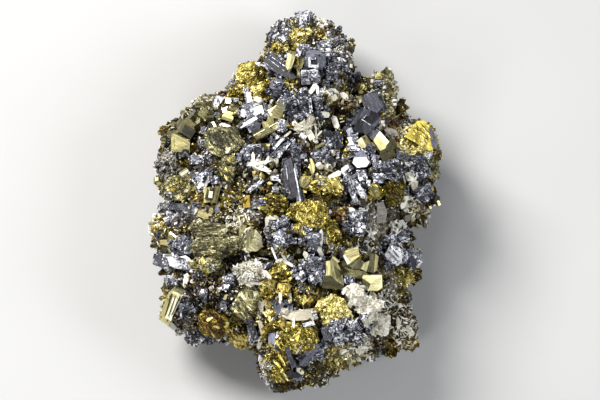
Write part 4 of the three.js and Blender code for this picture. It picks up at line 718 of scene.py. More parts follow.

# Regions of the display face painted brighter or darker, painted light and shade along with tone: column,
# row, half width, half height and shift.
# Most of these places were printed by a program that compared the render's brightness with the photo's,
# and the sizes and shifts were set by hand after the differences that it printed
LIGHT_AND_TONE_SPOTS = [
    (388, 121, 12, 14, 0.75), (408, 147, 12, 10, 0.9), (366, 216, 14, 16, 0.5), (376, 228, 10, 10, 0.4),
    (394, 288, 12, 14, 0.3), (405, 325, 10, 18, 0.2), (404, 343, 12, 8, 0.4), (336, 352, 14, 12, 0.6),
    (341, 365, 12, 8, 0.4), (242, 218, 14, 16, 0.4), (175, 200, 12, 10, 0.45), (197, 191, 12, 10, 0.55),
    (209, 197, 10, 8, 0.5), (335, 35, 14, 20, 0.15), (333, 97, 9, 11, 0.6), (320, 95, 10, 8, 0.15),
    (325, 150, 18, 12, 0.12), (214, 158, 9, 7, 0.5), (228, 113, 9, 8, 0.25), (290, 88, 8, 9, 0.35),
    (302, 305, 14, 12, 0.1), (275, 200, 9, 9, -0.5), (275, 365, 12, 15, -0.2), (352, 103, 9, 10, -0.95),
    (270, 105, 10, 15, -0.15), (217, 136, 10, 8, -0.25), (230, 262, 10, 11, -0.3),
    (305, 128, 10, 10, -0.15), (350, 262, 12, 8, -0.12), (197, 155, 7, 6, -0.3), (215, 315, 9, 6, -0.3),
    (261, 146, 10, 7, -0.3), (406, 222, 8, 8, 0.25), (419, 209, 8, 10, 0.25), (258, 245, 10, 8, 0.25),
    (276, 271, 8, 9, -0.4), (236, 271, 8, 8, -0.45), (218, 285, 12, 9, -0.7), (161, 185, 8, 6, -0.3),
    (394, 192, 8, 8, -0.2), (293, 337, 12, 8, 0.2), (193, 107, 10, 8, 0.45), (206, 100, 10, 8, 0.35),
    (242, 342, 8, 8, 0.5), (352, 312, 9, 8, 0.6), (302, 218, 8, 8, 0.15), (335, 293, 8, 8, 0.2),
    (398, 167, 8, 8, 0.2), (277, 294, 9, 9, -0.85), (277, 153, 9, 9, -0.5), (422, 144, 8, 6, 0.1),
    (256, 290, 8, 7, 0.35), (222, 245, 10, 8, -0.15), (289, 144, 8, 7, -0.3), (264, 362, 8, 8, -0.3),
    (268, 268, 8, 6, -0.3), (377, 249, 8, 8, 0.2), (205, 233, 8, 8, -0.3), (176, 151, 8, 8, -0.3),
    (332, 326, 9, 8, -0.5), (248, 86, 8, 8, 0.15), (380, 174, 9, 9, -0.4), (279, 172, 9, 8, -0.5),
    (341, 135, 8, 8, -0.2), (168, 298, 8, 10, 0.4), (330, 246, 9, 7, 0.4), (315, 170, 8, 8, 0.2),
    (339, 83, 8, 8, 0.2), (273, 35, 8, 8, -0.55), (203, 292, 14, 10, -0.6), (229, 87, 8, 8, -0.2),
    (207, 332, 10, 8, -0.2), (236, 166, 8, 8, 0.2), (178, 315, 8, 6, 0.2), (258, 169, 8, 6, -0.2),
    (303, 272, 8, 8, -0.35), (331, 227, 8, 8, -0.3), (328, 122, 8, 8, -0.6), (288, 274, 7, 6, -0.25),
    (273, 217, 8, 6, -0.25), (352, 180, 8, 8, -0.25), (309, 73, 8, 7, -0.65), (408, 160, 8, 6, 0.3),
    (436, 148, 7, 7, 0.8), (398, 167, 8, 7, 0.25), (223, 199, 8, 6, 0.25), (204, 177, 8, 7, -0.3),
    (289, 40, 16, 10, 0.6), (248, 70, 10, 9, -0.3), (303, 206, 10, 8, -0.25), (235, 338, 8, 7, 0.3),
    (302, 320, 10, 6, -0.4), (319, 302, 8, 7, 0.6), (383, 162, 9, 8, -0.9), (289, 318, 6, 6, -0.2),
    (201, 101, 9, 7, 0.5), (306, 115, 8, 12, -0.45), (243, 302, 8, 7, -0.25), (378, 301, 8, 7, -0.2),
    (343, 243, 8, 7, 0.45), (371, 200, 8, 7, 0.3), (335, 254, 8, 6, 0.3), (386, 264, 8, 6, 0.6),
    (214, 268, 10, 6, 0.6), (409, 327, 8, 8, 0.3), (383, 230, 8, 7, 0.3), (359, 240, 8, 6, 0.25),
    (316, 344, 8, 7, 0.3),
]

# Colours, darkest to lightest, that one mineral's crystals range through; on the metals the darkest end
# paints shade and the lightest a mirror flash
SHADES = {
    "chalcopyrite": [
        (0.0, (0.035, 0.024, 0.003)),
        (0.25, (0.115, 0.086, 0.01)),
        (0.5, (0.27, 0.215, 0.03)),
        (0.72, (0.47, 0.38, 0.058)),
        (0.88, (0.74, 0.625, 0.16)),
        (1.0, (0.94, 0.85, 0.42)),
    ],
    "olive": [
        (0.0, (0.024, 0.021, 0.01)),
        (0.35, (0.1, 0.092, 0.045)),
        (0.6, (0.25, 0.23, 0.11)),
        (0.85, (0.5, 0.455, 0.23)),
        (1.0, (0.84, 0.8, 0.56)),
    ],
    "tarnish": [
        (0.0, (0.04, 0.02, 0.006)),
        (0.4, (0.17, 0.11, 0.018)),
        (0.7, (0.46, 0.34, 0.055)),
        (0.9, (0.84, 0.68, 0.18)),
        (1.0, (1.0, 0.92, 0.5)),
    ],
    "galena": [
        (0.0, (0.014, 0.014, 0.017)),
        (0.4, (0.07, 0.072, 0.089)),
        (0.75, (0.26, 0.266, 0.322)),
        (0.92, (0.58, 0.588, 0.65)),
        (1.0, (0.94, 0.94, 0.96)),
    ],
    "pyrite": [
        (0.0, (0.012, 0.012, 0.008)),
        (0.35, (0.1, 0.092, 0.045)),
        (0.7, (0.5, 0.445, 0.2)),
        (0.9, (0.78, 0.735, 0.43)),
        (1.0, (0.94, 0.92, 0.74)),
    ],
    "calcite": [
        (0.0, (0.25, 0.225, 0.17)),
        (0.4, (0.5, 0.47, 0.38)),
        (1.0, (0.8, 0.785, 0.7)),
    ],
    "quartz": [
        (0.0, (0.05, 0.047, 0.042)),
        (0.5, (0.27, 0.252, 0.215)),
        (1.0, (0.76, 0.75, 0.72)),
    ],
    "sphalerite": [
        (0.0, (0.016, 0.011, 0.007)),
        (0.6, (0.085, 0.056, 0.02)),
        (0.9, (0.24, 0.14, 0.045)),
        (1.0, (0.5, 0.32, 0.14)),
    ],
}

# Of each mineral: how metallic it is, its roughness, how much its tone clouds, specks and runs in lines,
# how far the normals of its finest facets stray, how many of those lie along a millimetre, how much they
# are drawn out, and how deep its striae are
LOOKS = {
    "chalcopyrite": {
        "metal": 0.7, "rough": (0.25, 0.45), "cloud": 0.5, "speck": 0.9, "lines": 0.3,
        "stray": 0.95, "fine": 3.4, "drawn": 0.4, "striae": 0.0,
    },
    "olive": {
        "metal": 0.5, "rough": (0.3, 0.5), "cloud": 0.4, "speck": 0.5, "lines": 0.9,
        "stray": 0.6, "fine": 3.4, "drawn": 0.16, "striae": 0.2,
    },
    "tarnish": {
        "metal": 0.65, "rough": (0.25, 0.5), "cloud": 0.6, "speck": 0.7, "lines": 0.0,
        "stray": 0.9, "fine": 2.8, "drawn": 0.5, "striae": 0.0,
    },
    "galena": {
        "metal": 0.45, "rough": (0.25, 0.45), "cloud": 0.5, "speck": 1.1, "lines": 0.6,
        "stray": 0.3, "fine": 3.2, "drawn": 0.6, "striae": 0.2,
    },
    "pyrite": {
        "metal": 0.8, "rough": (0.2, 0.36), "cloud": 0.2, "speck": 0.0, "lines": 0.4,
        "stray": 0.0, "fine": 1.5, "drawn": 0.15, "striae": 0.05,
    },
    "calcite": {
        "metal": 0.0, "rough": (0.4, 0.65), "cloud": 0.8, "speck": 0.5, "lines": 0.0,
        "stray": 0.4, "fine": 3.0, "drawn": 0.6, "striae": 0.0,
    },
    "quartz": {
        "metal": 0.0, "rough": (0.08, 0.28), "cloud": 0.8, "speck": 1.0, "lines": 0.0,
        "stray": 0.9, "fine": 2.8, "drawn": 0.7, "striae": 0.0,
    },
    "sphalerite": {
        "metal": 0.3, "rough": (0.08, 0.26), "cloud": 0.6, "speck": 0.9, "lines": 0.0,
        "stray": 0.9, "fine": 2.8, "drawn": 0.6, "striae": 0.0,
    },
}
# The clean faces of crystals drawn face by face, with little metal and gloss so that their painted light
# and shade hold from every side
CLEAN_LOOK = {
    "metal": 0.2, "rough": (0.42, 0.6), "cloud": 0.25, "speck": 0.15, "lines": 0.6, "stray": 0.06,
}
CLEAN_GLOSS = 0.15  # their specular level
# The flash tone is a painted highlight that keeps little metal, so that it shows from all sides
FLASH_METAL = 0.5  # share of its metal that the brightest crystal keeps, so that it shines from all sides
FLASH_RANGE = (0.85, 1.0)  # the tones over which it loses the rest
CLOUD_RANGE = (0.3, 0.7)  # what the clouds lie between
CLOUDS = {"Scale": 0.9, "Detail": 4.0, "Roughness": 0.6}
GROWTH_LINES = {"Scale": 4.0, "Detail": 2.0, "Roughness": 0.6}
LINES_DRAWN = 0.1  # the lower, the longer the growth lines
STRIA_DEPTH = 0.25

# The ground between
MATRIX_CLOUDS = {"Scale": 1.3, "Detail": 5.0, "Roughness": 0.65}
# A mottle multiplied onto the ground's colour, which also darkens it as painted shade in the gaps between
# crystals
MATRIX_MOTTLE_AND_GAP_SHADE = [(0.35, (0.1, 0.079, 0.045)), (0.7, (0.64, 0.575, 0.45))]
MATRIX_FINE = 2.2  # finest facets along a millimetre
MATRIX_STRAY = 0.6  # and how far their normals stray
MATRIX_ROUGHNESS = 0.34

# How the grain of chalcopyrite runs on the display face, in degrees, and how bright single nodes are
GRAIN = {
    "chalcopyrite_olive_flank": 4,
    "chalcopyrite_striated_dome": -48,
    "chalcopyrite_wing": -42,
    "chalcopyrite_toe": -50,
    "chalcopyrite_shoulder": 32,
    "chalcopyrite_glitter": 25,
    "chalcopyrite_heart": 60,
}
STEEPEST_GRAIN = 60  # of the other rough masses
# Each node's brightness as it showed, so it holds painted light and shade along with the node's own tone
NODE_TONES = {
    "calcite_flat_blade": 0.3,
    "calcite_large_crust": 0.6,
    "calcite_left_crust": 0.24,
    "calcite_star_left": 0.45,
    "calcite_star_top": 0.12,
    "chalcopyrite_crown": 0.58,
    "chalcopyrite_glitter": 0.88,
    "chalcopyrite_heart": 0.55,
    "chalcopyrite_lower_left": 0.36,
    "chalcopyrite_right_dark": 0.3,
    "chalcopyrite_olive_mass": 0.62,
    "chalcopyrite_shoulder": 0.56,
    "chalcopyrite_striated_dome": 0.36,
    "chalcopyrite_toe": 0.4,
    "chalcopyrite_wing": 0.86,
    "galena_bright_slab": 0.86,
    "galena_crown_steps": 0.3,
    "galena_low_right": 0.34,
    "galena_crown_plate": 0.16,
    "galena_finger": 0.12,
    "galena_flash_cluster": 0.42,
    "galena_hollow_wall": 0.28,
    "galena_post": 0.5,
    "galena_right_edge": 0.44,
    "galena_skeletal_cube": 0.34,
    "galena_centre": 0.3,
    "galena_collar": 0.3,
    "galena_sponge": 0.62,
    "galena_star_seat": 0.5,
    "galena_stripes": 0.6,
    "galena_striped_cube": 0.72,
    "galena_toe": 0.46,
    "galena_white_flash": 0.5,
    "pyrite_cream_bar": 0.75,
    "pyrite_left_cube": 0.6,
    "pyrite_slab": 0.5,
    "pyrite_striated_bar": 0.75,
    "quartz_left_mass": 0.26,
}

# The camera
LENS = 560
SENSOR = 36
FRAME_COLUMNS = 600
FRAME_DEPTH = 26  # height above the ground, square to the face, at which a column is GRID_STEP wide
CLIP = (0.05, 20)

# The rest of the stage, in metres. Each light has its direction from the part, distance, size, watts
# and colour
LIGHTS = {
    "key": ((-0.75, 0.55, 1.15), 0.7, 0.34, 9.9, (1.0, 0.985, 0.95)),
    "fill": ((0.9, -0.3, 0.8), 0.9, 0.3, 4.4, (0.93, 0.96, 1.0)),
    "front": ((-0.4, -1.0, 0.9), 0.9, 0.25, 3, (1.0, 1.0, 1.0)),
}
LIT_POINT = Vector((0, 0, 0.02))
SKY = (0.9, 0.91, 0.93, 1)
SKY_STRENGTH = 0.18
FLOOR_REACH = 2.0
FLOOR_GRAIN = 40.0
FLOOR_SHADES = [(0.3, (0.4, 0.4, 0.4)), (0.7, (0.43, 0.43, 0.43))]
FLOOR_ROUGHNESS = 0.9


# Places

def on_face(column, row, out=0.0):
    """A point in millimetres above the display face's plane through the ground origin."""
    across = (column - GRID_CENTRE[0]) * GRID_STEP
    up = (GRID_CENTRE[1] - row) * GRID_STEP
    return GRID_ORIGIN + FACE @ Vector((across, up, out))


def grid_place(point):
    """The column and row of a point in millimetres, seen square to the display face."""
    across, up, _ = FACE.transposed() @ (point - GRID_ORIGIN)
    return across / GRID_STEP + GRID_CENTRE[0], GRID_CENTRE[1] - up / GRID_STEP


def height_out(point):
    """How far a point stands out from the display face's plane."""
    return OUTWARD.dot(point - GRID_ORIGIN)


def regional_shift(points):
    """How much brighter or darker the display face is painted at points in millimetres, painted light and
    shade along with tone.
    """
    across, up, _ = ((points - np.array(GRID_ORIGIN)) @ np.array(FACE)).T
    columns = across / GRID_STEP + GRID_CENTRE[0]
    rows = GRID_CENTRE[1] - up / GRID_STEP
    light_and_tone_shift = np.zeros(len(points))
    for column, row, half_width, half_height, amount in LIGHT_AND_TONE_SPOTS:
        right = (columns - column) / half_width
        down = (rows - row) / half_height
        light_and_tone_shift += amount * np.exp(-right ** 2 - down ** 2)
    return light_and_tone_shift


def along_face(degrees):
    angle = math.radians(degrees)
    return FACE @ Vector((math.cos(angle), math.sin(angle), 0))


def mesh_arrays(mesh):
    """A mesh's vertices in millimetres and its polygons."""
    points = np.empty(len(mesh.vertices) * 3, np.float32)
    mesh.vertices.foreach_get("co", points)
    return points.reshape(-1, 3) / MM, [list(face.vertices) for face in mesh.polygons]


def joined_shape(shapes):
    corners, faces = [], []
    start = 0
    for shape_corners, shape_faces in shapes:
        corners.append(shape_corners)
        faces += [tuple(start + i for i in face) for face in shape_faces]
        start += len(shape_corners)
    return np.concatenate(corners), faces


def tree_of(meshes):
    """Several meshes in one tree to cast rays on."""
    points, faces = joined_shape([mesh_arrays(mesh) for mesh in meshes])
    return BVHTree.FromPolygons(points.tolist(), faces)


class Ground:
    """The surface that crystals stand on, and which mineral grows where."""

    def __init__(self, nodes):
        self.tree = tree_of([node.data for node in nodes.values()])
        self.clean = None
        corners, _ = mesh_arrays(nodes["matrix"].data)
        self.patches = neighbours(corners[chance.choice(len(corners), PATCHES, replace=False)])
        self.patch_minerals = chance.choice(list(PATCH_SHARES), PATCHES, p=list(PATCH_SHARES.values()))
        self.domains = neighbours(corners[chance.choice(len(corners), DOMAINS, replace=False)])
        self.domain_turns = [random_turn() for _ in range(DOMAINS)]

    def settle(self, pieces):
        """From now on crystals stand on the pieces as they are dressed."""
        self.tree = tree_of([piece.data for piece in pieces])

    def keep_clean(self, pieces):
        """From now on no block, grain or field crystal stands on these pieces."""
        self.clean = tree_of([piece.data for piece in pieces])

    def seat(self, column, row):
        """Where a line into the display face meets the ground."""
        return self.tree.ray_cast(on_face(column, row, FAR_OUT), -OUTWARD)[0]

    def open_seat(self, column, row):
        """Where a line into the display face meets the ground, if it meets no clean crystal."""
        start = on_face(column, row, FAR_OUT)
        on_clean = self.clean.ray_cast(start, -OUTWARD)[0]
        return None if on_clean else self.tree.ray_cast(start, -OUTWARD)[0]

    def covered(self, point, normal, reach):
        return self.tree.ray_cast(point + normal * RAY_START, normal, reach)[0] is not None

    def faces_viewer(self, point):
        return self.tree.ray_cast(point + OUTWARD * VIEW_START, OUTWARD)[0] is None

    def mineral_at(self, point):
        """The zone's mineral on the display face, and elsewhere the nearest patch's."""
        if chance.random() > STRANGERS and self.faces_viewer(point):
            zoned = zone_at(*grid_place(point))
            if zoned:
                return zoned
        return str(self.patch_minerals[self.patches.find(point)[1]])

    def turn_at(self, point):
        return self.domain_turns[self.domains.find(point)[1]]


def neighbours(points):
    tree = KDTree(len(points))
    for i, point in enumerate(points):
        tree.insert(point, i)
    tree.balance()
    return tree


def zone_at(column, row):
    """The mineral of the nearest zone that a place on the display face lies in."""
    best, nearest = None, 1.0
    for mineral, zones in ZONES.items():
        for zone_column, zone_row, half_width, half_height, turn in zones:
            angle = math.radians(turn)
            right = column - zone_column
            up = zone_row - row
            along = (right * math.cos(angle) + up * math.sin(angle)) / half_width
            across = (up * math.cos(angle) - right * math.sin(angle)) / half_height
            reach = math.hypot(along, across) + chance.normal(0, ZONE_BLUR)
            if reach < nearest:
                best, nearest = mineral, reach
    return best


def pick(options):
    return options[chance.integers(len(options))]


def random_turn():
    axis = Vector(chance.normal(size=3)).normalized()
    return Matrix.Rotation(chance.uniform(0, math.pi), 3, axis)


def slight_turn(degrees):
    axis = Vector(chance.normal(size=3)).normalized()
    return Matrix.Rotation(math.radians(chance.normal(0, degrees)), 3, axis)


def face_turn(spin):
    """A turn on the display face, with a small lean."""
    lean_up, lean_across = np.radians(chance.uniform(-LEAN, LEAN, 2))
    leaning = Matrix.Rotation(lean_up, 3, "X") @ Matrix.Rotation(lean_across, 3, "Y")
    return FACE @ leaning @ Matrix.Rotation(math.radians(spin), 3, "Z")


def columns_turn(*columns):
    """The turn whose axes are the given directions."""
    return Matrix(columns).transposed()


def lying_turn(along, normal):
    """The turn of a crystal that lies along one direction, its broad side to another."""
    across = normal.cross(along).normalized()
    return columns_turn(along, across, along.cross(across))


# Materials

def add_node(tree, kind, **sockets):
    node = tree.nodes.new(kind)
    for name, value in sockets.items():
        set_socket(tree, node.inputs[name.replace("_", " ")], value)
    return node


def set_socket(tree, socket, value):
    if hasattr(value, "links"):
        tree.links.new(value, socket)
    else:
        socket.default_value = value


def maths(tree, operation, *values, kind="ShaderNodeMath"):
    node = tree.nodes.new(kind)
    node.operation = operation
    for socket, value in zip(node.inputs, values):
        set_socket(tree, socket, value)
    return node.outputs[0]


def vector_maths(tree, operation, *values):
    return maths(tree, operation, *values, kind="ShaderNodeVectorMath")


def scaled(tree, vector, factor):
    return vector_maths(tree, "MULTIPLY", vector, (factor, factor, factor))


def attribute(tree, name):
    node = tree.nodes.new("ShaderNodeAttribute")
    node.attribute_name = name
    return node


def map_range(tree, value, low, high, to_low, to_high):
    ends = {"From_Min": low, "From_Max": high, "To_Min": to_low, "To_Max": to_high}
    return add_node(tree, "ShaderNodeMapRange", Value=value, **ends).outputs[0]


def colour_ramp(tree, factor, stops):
    node = tree.nodes.new("ShaderNodeValToRGB")
    elements = node.color_ramp.elements
    while len(elements) < len(stops):
        elements.new(0.5)
    for element, (position, colour) in zip(elements, stops):
        element.position = position
        element.color = (*colour, 1)
    tree.links.new(factor, node.inputs[0])
    return node.outputs[0]


def new_material(name):
    """A material, with its node tree and its shader."""
    material = bpy.data.materials.new(name)
    material.use_nodes = True
    tree = material.node_tree
    return material, tree, tree.nodes["Principled BSDF"]


def millimetre_place(tree):
    return scaled(tree, tree.nodes.new("ShaderNodeTexCoord").outputs["Object"], 1 / MM)


def noise(tree, place, kind):
    return add_node(tree, "ShaderNodeTexNoise", Vector=place, **kind).outputs[0]


def straying_normal(tree, cells, amount):
    """Normals that stray from cell to cell, so that the finest facets glitter."""
    stray = vector_maths(tree, "SUBTRACT", cells.outputs["Color"], (0.5, 0.5, 0.5))
    normal = tree.nodes.new("ShaderNodeNewGeometry").outputs["Normal"]
    return vector_maths(tree, "NORMALIZE", vector_maths(tree, "ADD", normal, scaled(tree, stray, amount)))


def growth_place(tree, drawn):
    """Each face's own coordinates, drawn out along its first axis."""
    return vector_maths(tree, "MULTIPLY", attribute(tree, "growth").outputs["Vector"], (drawn, 1, 1))


def stria_bump(tree, lines, normal, amount):
    bump = add_node(tree, "ShaderNodeBump", Height=lines, Normal=normal)
    bump.inputs["Strength"].default_value = amount
    bump.inputs["Distance"].default_value = STRIA_DEPTH * MM
    return bump.outputs[0]


def swing(tree, value, amount):
    """How far a texture's value lies from its middle, times an amount."""
    return maths(tree, "MULTIPLY", maths(tree, "SUBTRACT", value, 0.5), amount)


def mineral_material(name, mineral, look):
    """Each face's own tone, clouded, specked and lined, picks its colour among the mineral's shades."""
    material, tree, shader = new_material(name)
    clouds = noise(tree, millimetre_place(tree), CLOUDS)
    lines = noise(tree, growth_place(tree, LINES_DRAWN), GROWTH_LINES)
    place = growth_place(tree, look["drawn"])
    cells = add_node(tree, "ShaderNodeTexVoronoi", Vector=place, Scale=look["fine"])
    specks = add_node(tree, "ShaderNodeSeparateXYZ", Vector=cells.outputs["Color"]).outputs[0]
    tone = attribute(tree, "tone").outputs["Fac"]
    for value, part in ((clouds, "cloud"), (specks, "speck"), (lines, "lines")):
        tone = maths(tree, "ADD", tone, swing(tree, value, look[part]))
    tree.links.new(colour_ramp(tree, tone, SHADES[mineral]), shader.inputs["Base Color"])
    tree.links.new(map_range(tree, clouds, *CLOUD_RANGE, *look["rough"]), shader.inputs["Roughness"])
    metal = map_range(tree, tone, *FLASH_RANGE, look["metal"], look["metal"] * FLASH_METAL)
    tree.links.new(metal, shader.inputs["Metallic"])
    normal = straying_normal(tree, cells, look["stray"])
    if look["striae"]:
        normal = stria_bump(tree, lines, normal, look["striae"])
    tree.links.new(normal, shader.inputs["Normal"])
    return material


def clean_material(mineral):
    """The same for the clean faces of crystals drawn face by face."""
    material = mineral_material("clean_" + mineral, mineral, {**LOOKS[mineral], **CLEAN_LOOK})
    shader = material.node_tree.nodes["Principled BSDF"]
    shader.inputs["Specular IOR Level"].default_value = CLEAN_GLOSS
    return material


def matrix_material():
    """The ground takes each place's mineral colour and lustre from its mesh, mottled and darkened as
    painted shade in the gaps between crystals.
    """
    material, tree, shader = new_material("matrix")
    place = millimetre_place(tree)
    shade = colour_ramp(tree, noise(tree, place, MATRIX_CLOUDS), MATRIX_MOTTLE_AND_GAP_SHADE)
    gap_shaded = tree.nodes.new("ShaderNodeMix")
    gap_shaded.data_type = "RGBA"
    gap_shaded.blend_type = "MULTIPLY"
    gap_shaded.inputs["Factor"].default_value = 1.0
    tree.links.new(attribute(tree, "mineral_colour").outputs["Color"], gap_shaded.inputs["A"])
    tree.links.new(shade, gap_shaded.inputs["B"])
    tree.links.new(gap_shaded.outputs["Result"], shader.inputs["Base Color"])
    tree.links.new(attribute(tree, "lustre").outputs["Fac"], shader.inputs["Metallic"])
    cells = add_node(tree, "ShaderNodeTexVoronoi", Vector=place, Scale=MATRIX_FINE)
    tree.links.new(straying_normal(tree, cells, MATRIX_STRAY), shader.inputs["Normal"])
    shader.inputs["Roughness"].default_value = MATRIX_ROUGHNESS
    return material


# Meshes

def add_object(name, data):
    added = bpy.data.objects.new(name, data)
    bpy.context.scene.collection.objects.link(added)
    return added


def add_piece(name, points, faces, material, mineral):
    """A piece of the specimen from points in millimetres."""
    mesh = bpy.data.meshes.new(name)
    mesh.from_pydata((np.asarray(points) * MM).tolist(), [], faces)
    mesh.update()
    mesh.materials.append(material)
    piece = add_object(name, mesh)
    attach(piece, "root")
    SLOTS.get(mineral, mineral)
    return piece


def write_attribute(mesh, name, kind, domain, values):
    """Gives a mesh a named value for each of its faces or corners."""
    field = {"FLOAT": "value", "FLOAT_VECTOR": "vector", "FLOAT_COLOR": "color"}[kind]
    attributes = mesh.attributes.new(name, kind, domain).data
    attributes.foreach_set(field, np.asarray(values, np.float32).ravel())


def write_tones(mesh, tones):
    write_attribute(mesh, "tone", "FLOAT", "FACE", tones)


def longest_edge(corners):
    """The direction of a face's longest edge."""
    edges = [after - here for here, after in zip(corners, corners[1:] + corners[:1])]
    return max(edges, key=lambda edge: edge.length_squared).normalized()


def write_growth(mesh):
    """Each face's own coordinates in millimetres: along its longest edge, across it and out."""
    marks = np.zeros((len(mesh.loops), 3), np.float32)
    for face in mesh.polygons:
        corners = [mesh.vertices[i].co / MM for i in face.vertices]
        along = longest_edge(corners)
        across = face.normal.cross(along)
        for loop, corner in zip(face.loop_indices, corners):
            marks[loop] = (corner.dot(along), corner.dot(across), corner.dot(face.normal))
    write_attribute(mesh, "growth", "FLOAT_VECTOR", "CORNER", marks)


def write_grain(mesh, points, grain):
    """The same coordinates for a whole mass: along its grain, across it and out of the display face."""
    axes = np.array([grain, np.cross(OUTWARD, grain), OUTWARD])
    loops = np.empty(len(mesh.loops), np.int32)
    mesh.loops.foreach_get("vertex_index", loops)
    write_attribute(mesh, "growth", "FLOAT_VECTOR", "CORNER", (points @ axes.T)[loops])


def remeshed(node, voxel):
    """A node's surface in small even faces: points in millimetres, their normals, and faces."""
    probe = add_object("probe", node.data.copy())
    remesh = probe.modifiers.new("remesh", "REMESH")
    remesh.mode = "VOXEL"
    remesh.voxel_size = voxel * MM
    evaluated = probe.evaluated_get(bpy.context.evaluated_depsgraph_get())
    mesh = bpy.data.meshes.new_from_object(evaluated)
    points, faces = mesh_arrays(mesh)
    normals = np.empty(len(points) * 3, np.float32)
    mesh.vertex_normals.foreach_get("vector", normals)
    bpy.data.objects.remove(probe)
    bpy.data.meshes.remove(mesh)
    return points, normals.reshape(-1, 3), faces


def onto_facets(points, normals, count, grain, tilt, step, limit, drawn):
    """Moves points onto count flat facets drawn out along the grain, and says which facet each is on."""
    squeeze = np.eye(3) - (1 - 1 / drawn) * np.outer(grain, grain)
    chosen = chance.choice(len(points), count, replace=False)
    tree = neighbours(points[chosen] @ squeeze)
    facet = np.array([tree.find(point)[1] for point in points @ squeeze])
    leaning = normals[chosen] + chance.normal(0, tilt, (count, 3)) @ squeeze
    leaning /= np.linalg.norm(leaning, axis=1)[:, None]
    gap = ((points[chosen][facet] - points) * leaning[facet]).sum(1)
    gap += chance.uniform(-step, step, count)[facet]
    slope = (normals * leaning[facet]).sum(1)
    move = np.clip(gap / np.maximum(slope, LEAST_SLOPE), -limit, limit)
    return points + normals * move[:, None], facet


def surface_samples(mesh, count):
    """Points spread evenly over a mesh of triangles or quads, with the normals there."""
    points, faces = mesh_arrays(mesh)
    corners = points[np.array([face[:3] for face in faces])]
    cross = np.cross(corners[:, 1] - corners[:, 0], corners[:, 2] - corners[:, 0])
    area = np.linalg.norm(cross, axis=1)
    chosen = chance.choice(len(faces), count, p=area / area.sum())
    a, b = chance.random((2, count, 1))
    over = a + b > 1
    a, b = np.where(over, 1 - a, a), np.where(over, 1 - b, b)
    origin = corners[chosen, 0]
    spots = origin + a * (corners[chosen, 1] - origin) + b * (corners[chosen, 2] - origin)
    return spots, cross[chosen] / area[chosen][:, None]


# Shapes of crystals, in a box from -0.5 to 0.5

PLATE_INSET = 0.22
PLATE_RISE = (0.05, 0.14)
PLATE_OVERLAP = 0.02
SLAT_CUTS = (-0.42, 0.42)
SLAT_ENDS = (0.42, 0.5)
SLAT_TOPS = (0.36, 0.5)
ROUGH_REACH = (0.42, 0.62)


def box_shape(low=(-0.5, -0.5, -0.5), high=(0.5, 0.5, 0.5)):
    corners = [(x, y, z) for z in (low[2], high[2]) for y in (low[1], high[1]) for x in (low[0], high[0])]
    faces = [(0, 2, 3, 1), (4, 5, 7, 6), (0, 1, 5, 4), (2, 6, 7, 3), (0, 4, 6, 2), (1, 3, 7, 5)]
    return np.array(corners), faces


def mesh_shape(bm):
    """The corners and faces of a bmesh, which ends with this."""
    bm.verts.index_update()
    corners = np.array([v.co for v in bm.verts])
    faces = [tuple(v.index for v in face.verts) for face in bm.faces]
    bm.free()
    return corners, faces


def hull_shape(points):
    bm = bmesh.new()
    for point in points:
        bm.verts.new(point)
    hull = bmesh.ops.convex_hull(bm, input=bm.verts)
    bmesh.ops.delete(bm, geom=[v for v in hull["geom_interior"] if isinstance(v, bmesh.types.BMVert)])
    return mesh_shape(bm)


def rough_shape(count):
    """A rough crystal without good faces."""
    points = chance.normal(size=(count, 3))
    points /= np.linalg.norm(points, axis=1)[:, None]
    return hull_shape(points * chance.uniform(*ROUGH_REACH, (count, 1)))


def blade_shape():
    """A thin blade that narrows to both ends."""
    outline = [(-0.5, 0), (-0.3, -0.5), (0.35, -0.42), (0.5, 0), (0.35, 0.42), (-0.3, 0.5)]
    corners = [(x, y, z) for z in (-0.5, 0.5) for x, y in outline]
    sides = [(i, (i + 1) % 6, (i + 1) % 6 + 6, i + 6) for i in range(6)]
    return np.array(corners), [tuple(range(5, -1, -1)), tuple(range(6, 12)), *sides]


def plated_shape(plates):
    """A cube with a few low plates on its upper face, each drawn in from the one below."""
    boxes = [box_shape()]
    low, high = np.array([-0.5, -0.5]), np.array([0.5, 0.5])
    top = 0.5
    for _ in range(plates):
        low = low + chance.uniform(0, PLATE_INSET, 2)
        high = high - chance.uniform(0, PLATE_INSET, 2)
        rise = chance.uniform(*PLATE_RISE)
        boxes.append(box_shape((*low, top - PLATE_OVERLAP), (*high, top + rise)))
        top += rise
    return joined_shape(boxes)


def slatted_shape(slats):
    """A bar of parallel slats that end and rise unevenly."""
    cuts = np.sort(chance.uniform(*SLAT_CUTS, slats - 1))
    edges = [-0.5, *cuts, 0.5]
    boxes = []
    for start, end in zip(edges, edges[1:]):
        ends = chance.uniform(*SLAT_ENDS, 2)
        boxes.append(box_shape((-ends[0], start, -0.5), (ends[1], end, chance.uniform(*SLAT_TOPS))))
    return joined_shape(boxes)


CUBE = box_shape()
PLATED = [plated_shape(plates) for plates in (1, 2, 2, 3)]
SLATTED = [slatted_shape(slats) for slats in (3, 4, 5)]
SPHENOID = hull_shape([(0.5, 0.5, 0.5), (-0.5, -0.5, 0.5), (-0.5, 0.5, -0.5), (0.5, -0.5, -0.5)])
BLADE = blade_shape()
ROUGH = [rough_shape(count) for count in (7, 8, 8, 9, 9, 10, 11)]

BLOCK_SHAPES = {"galena": [*PLATED, SLATTED[0]], "pyrite": [CUBE, *SLATTED]}
BAR_SHAPES = {"galena": [SLATTED[0], CUBE], "pyrite": SLATTED}  # the others are blades
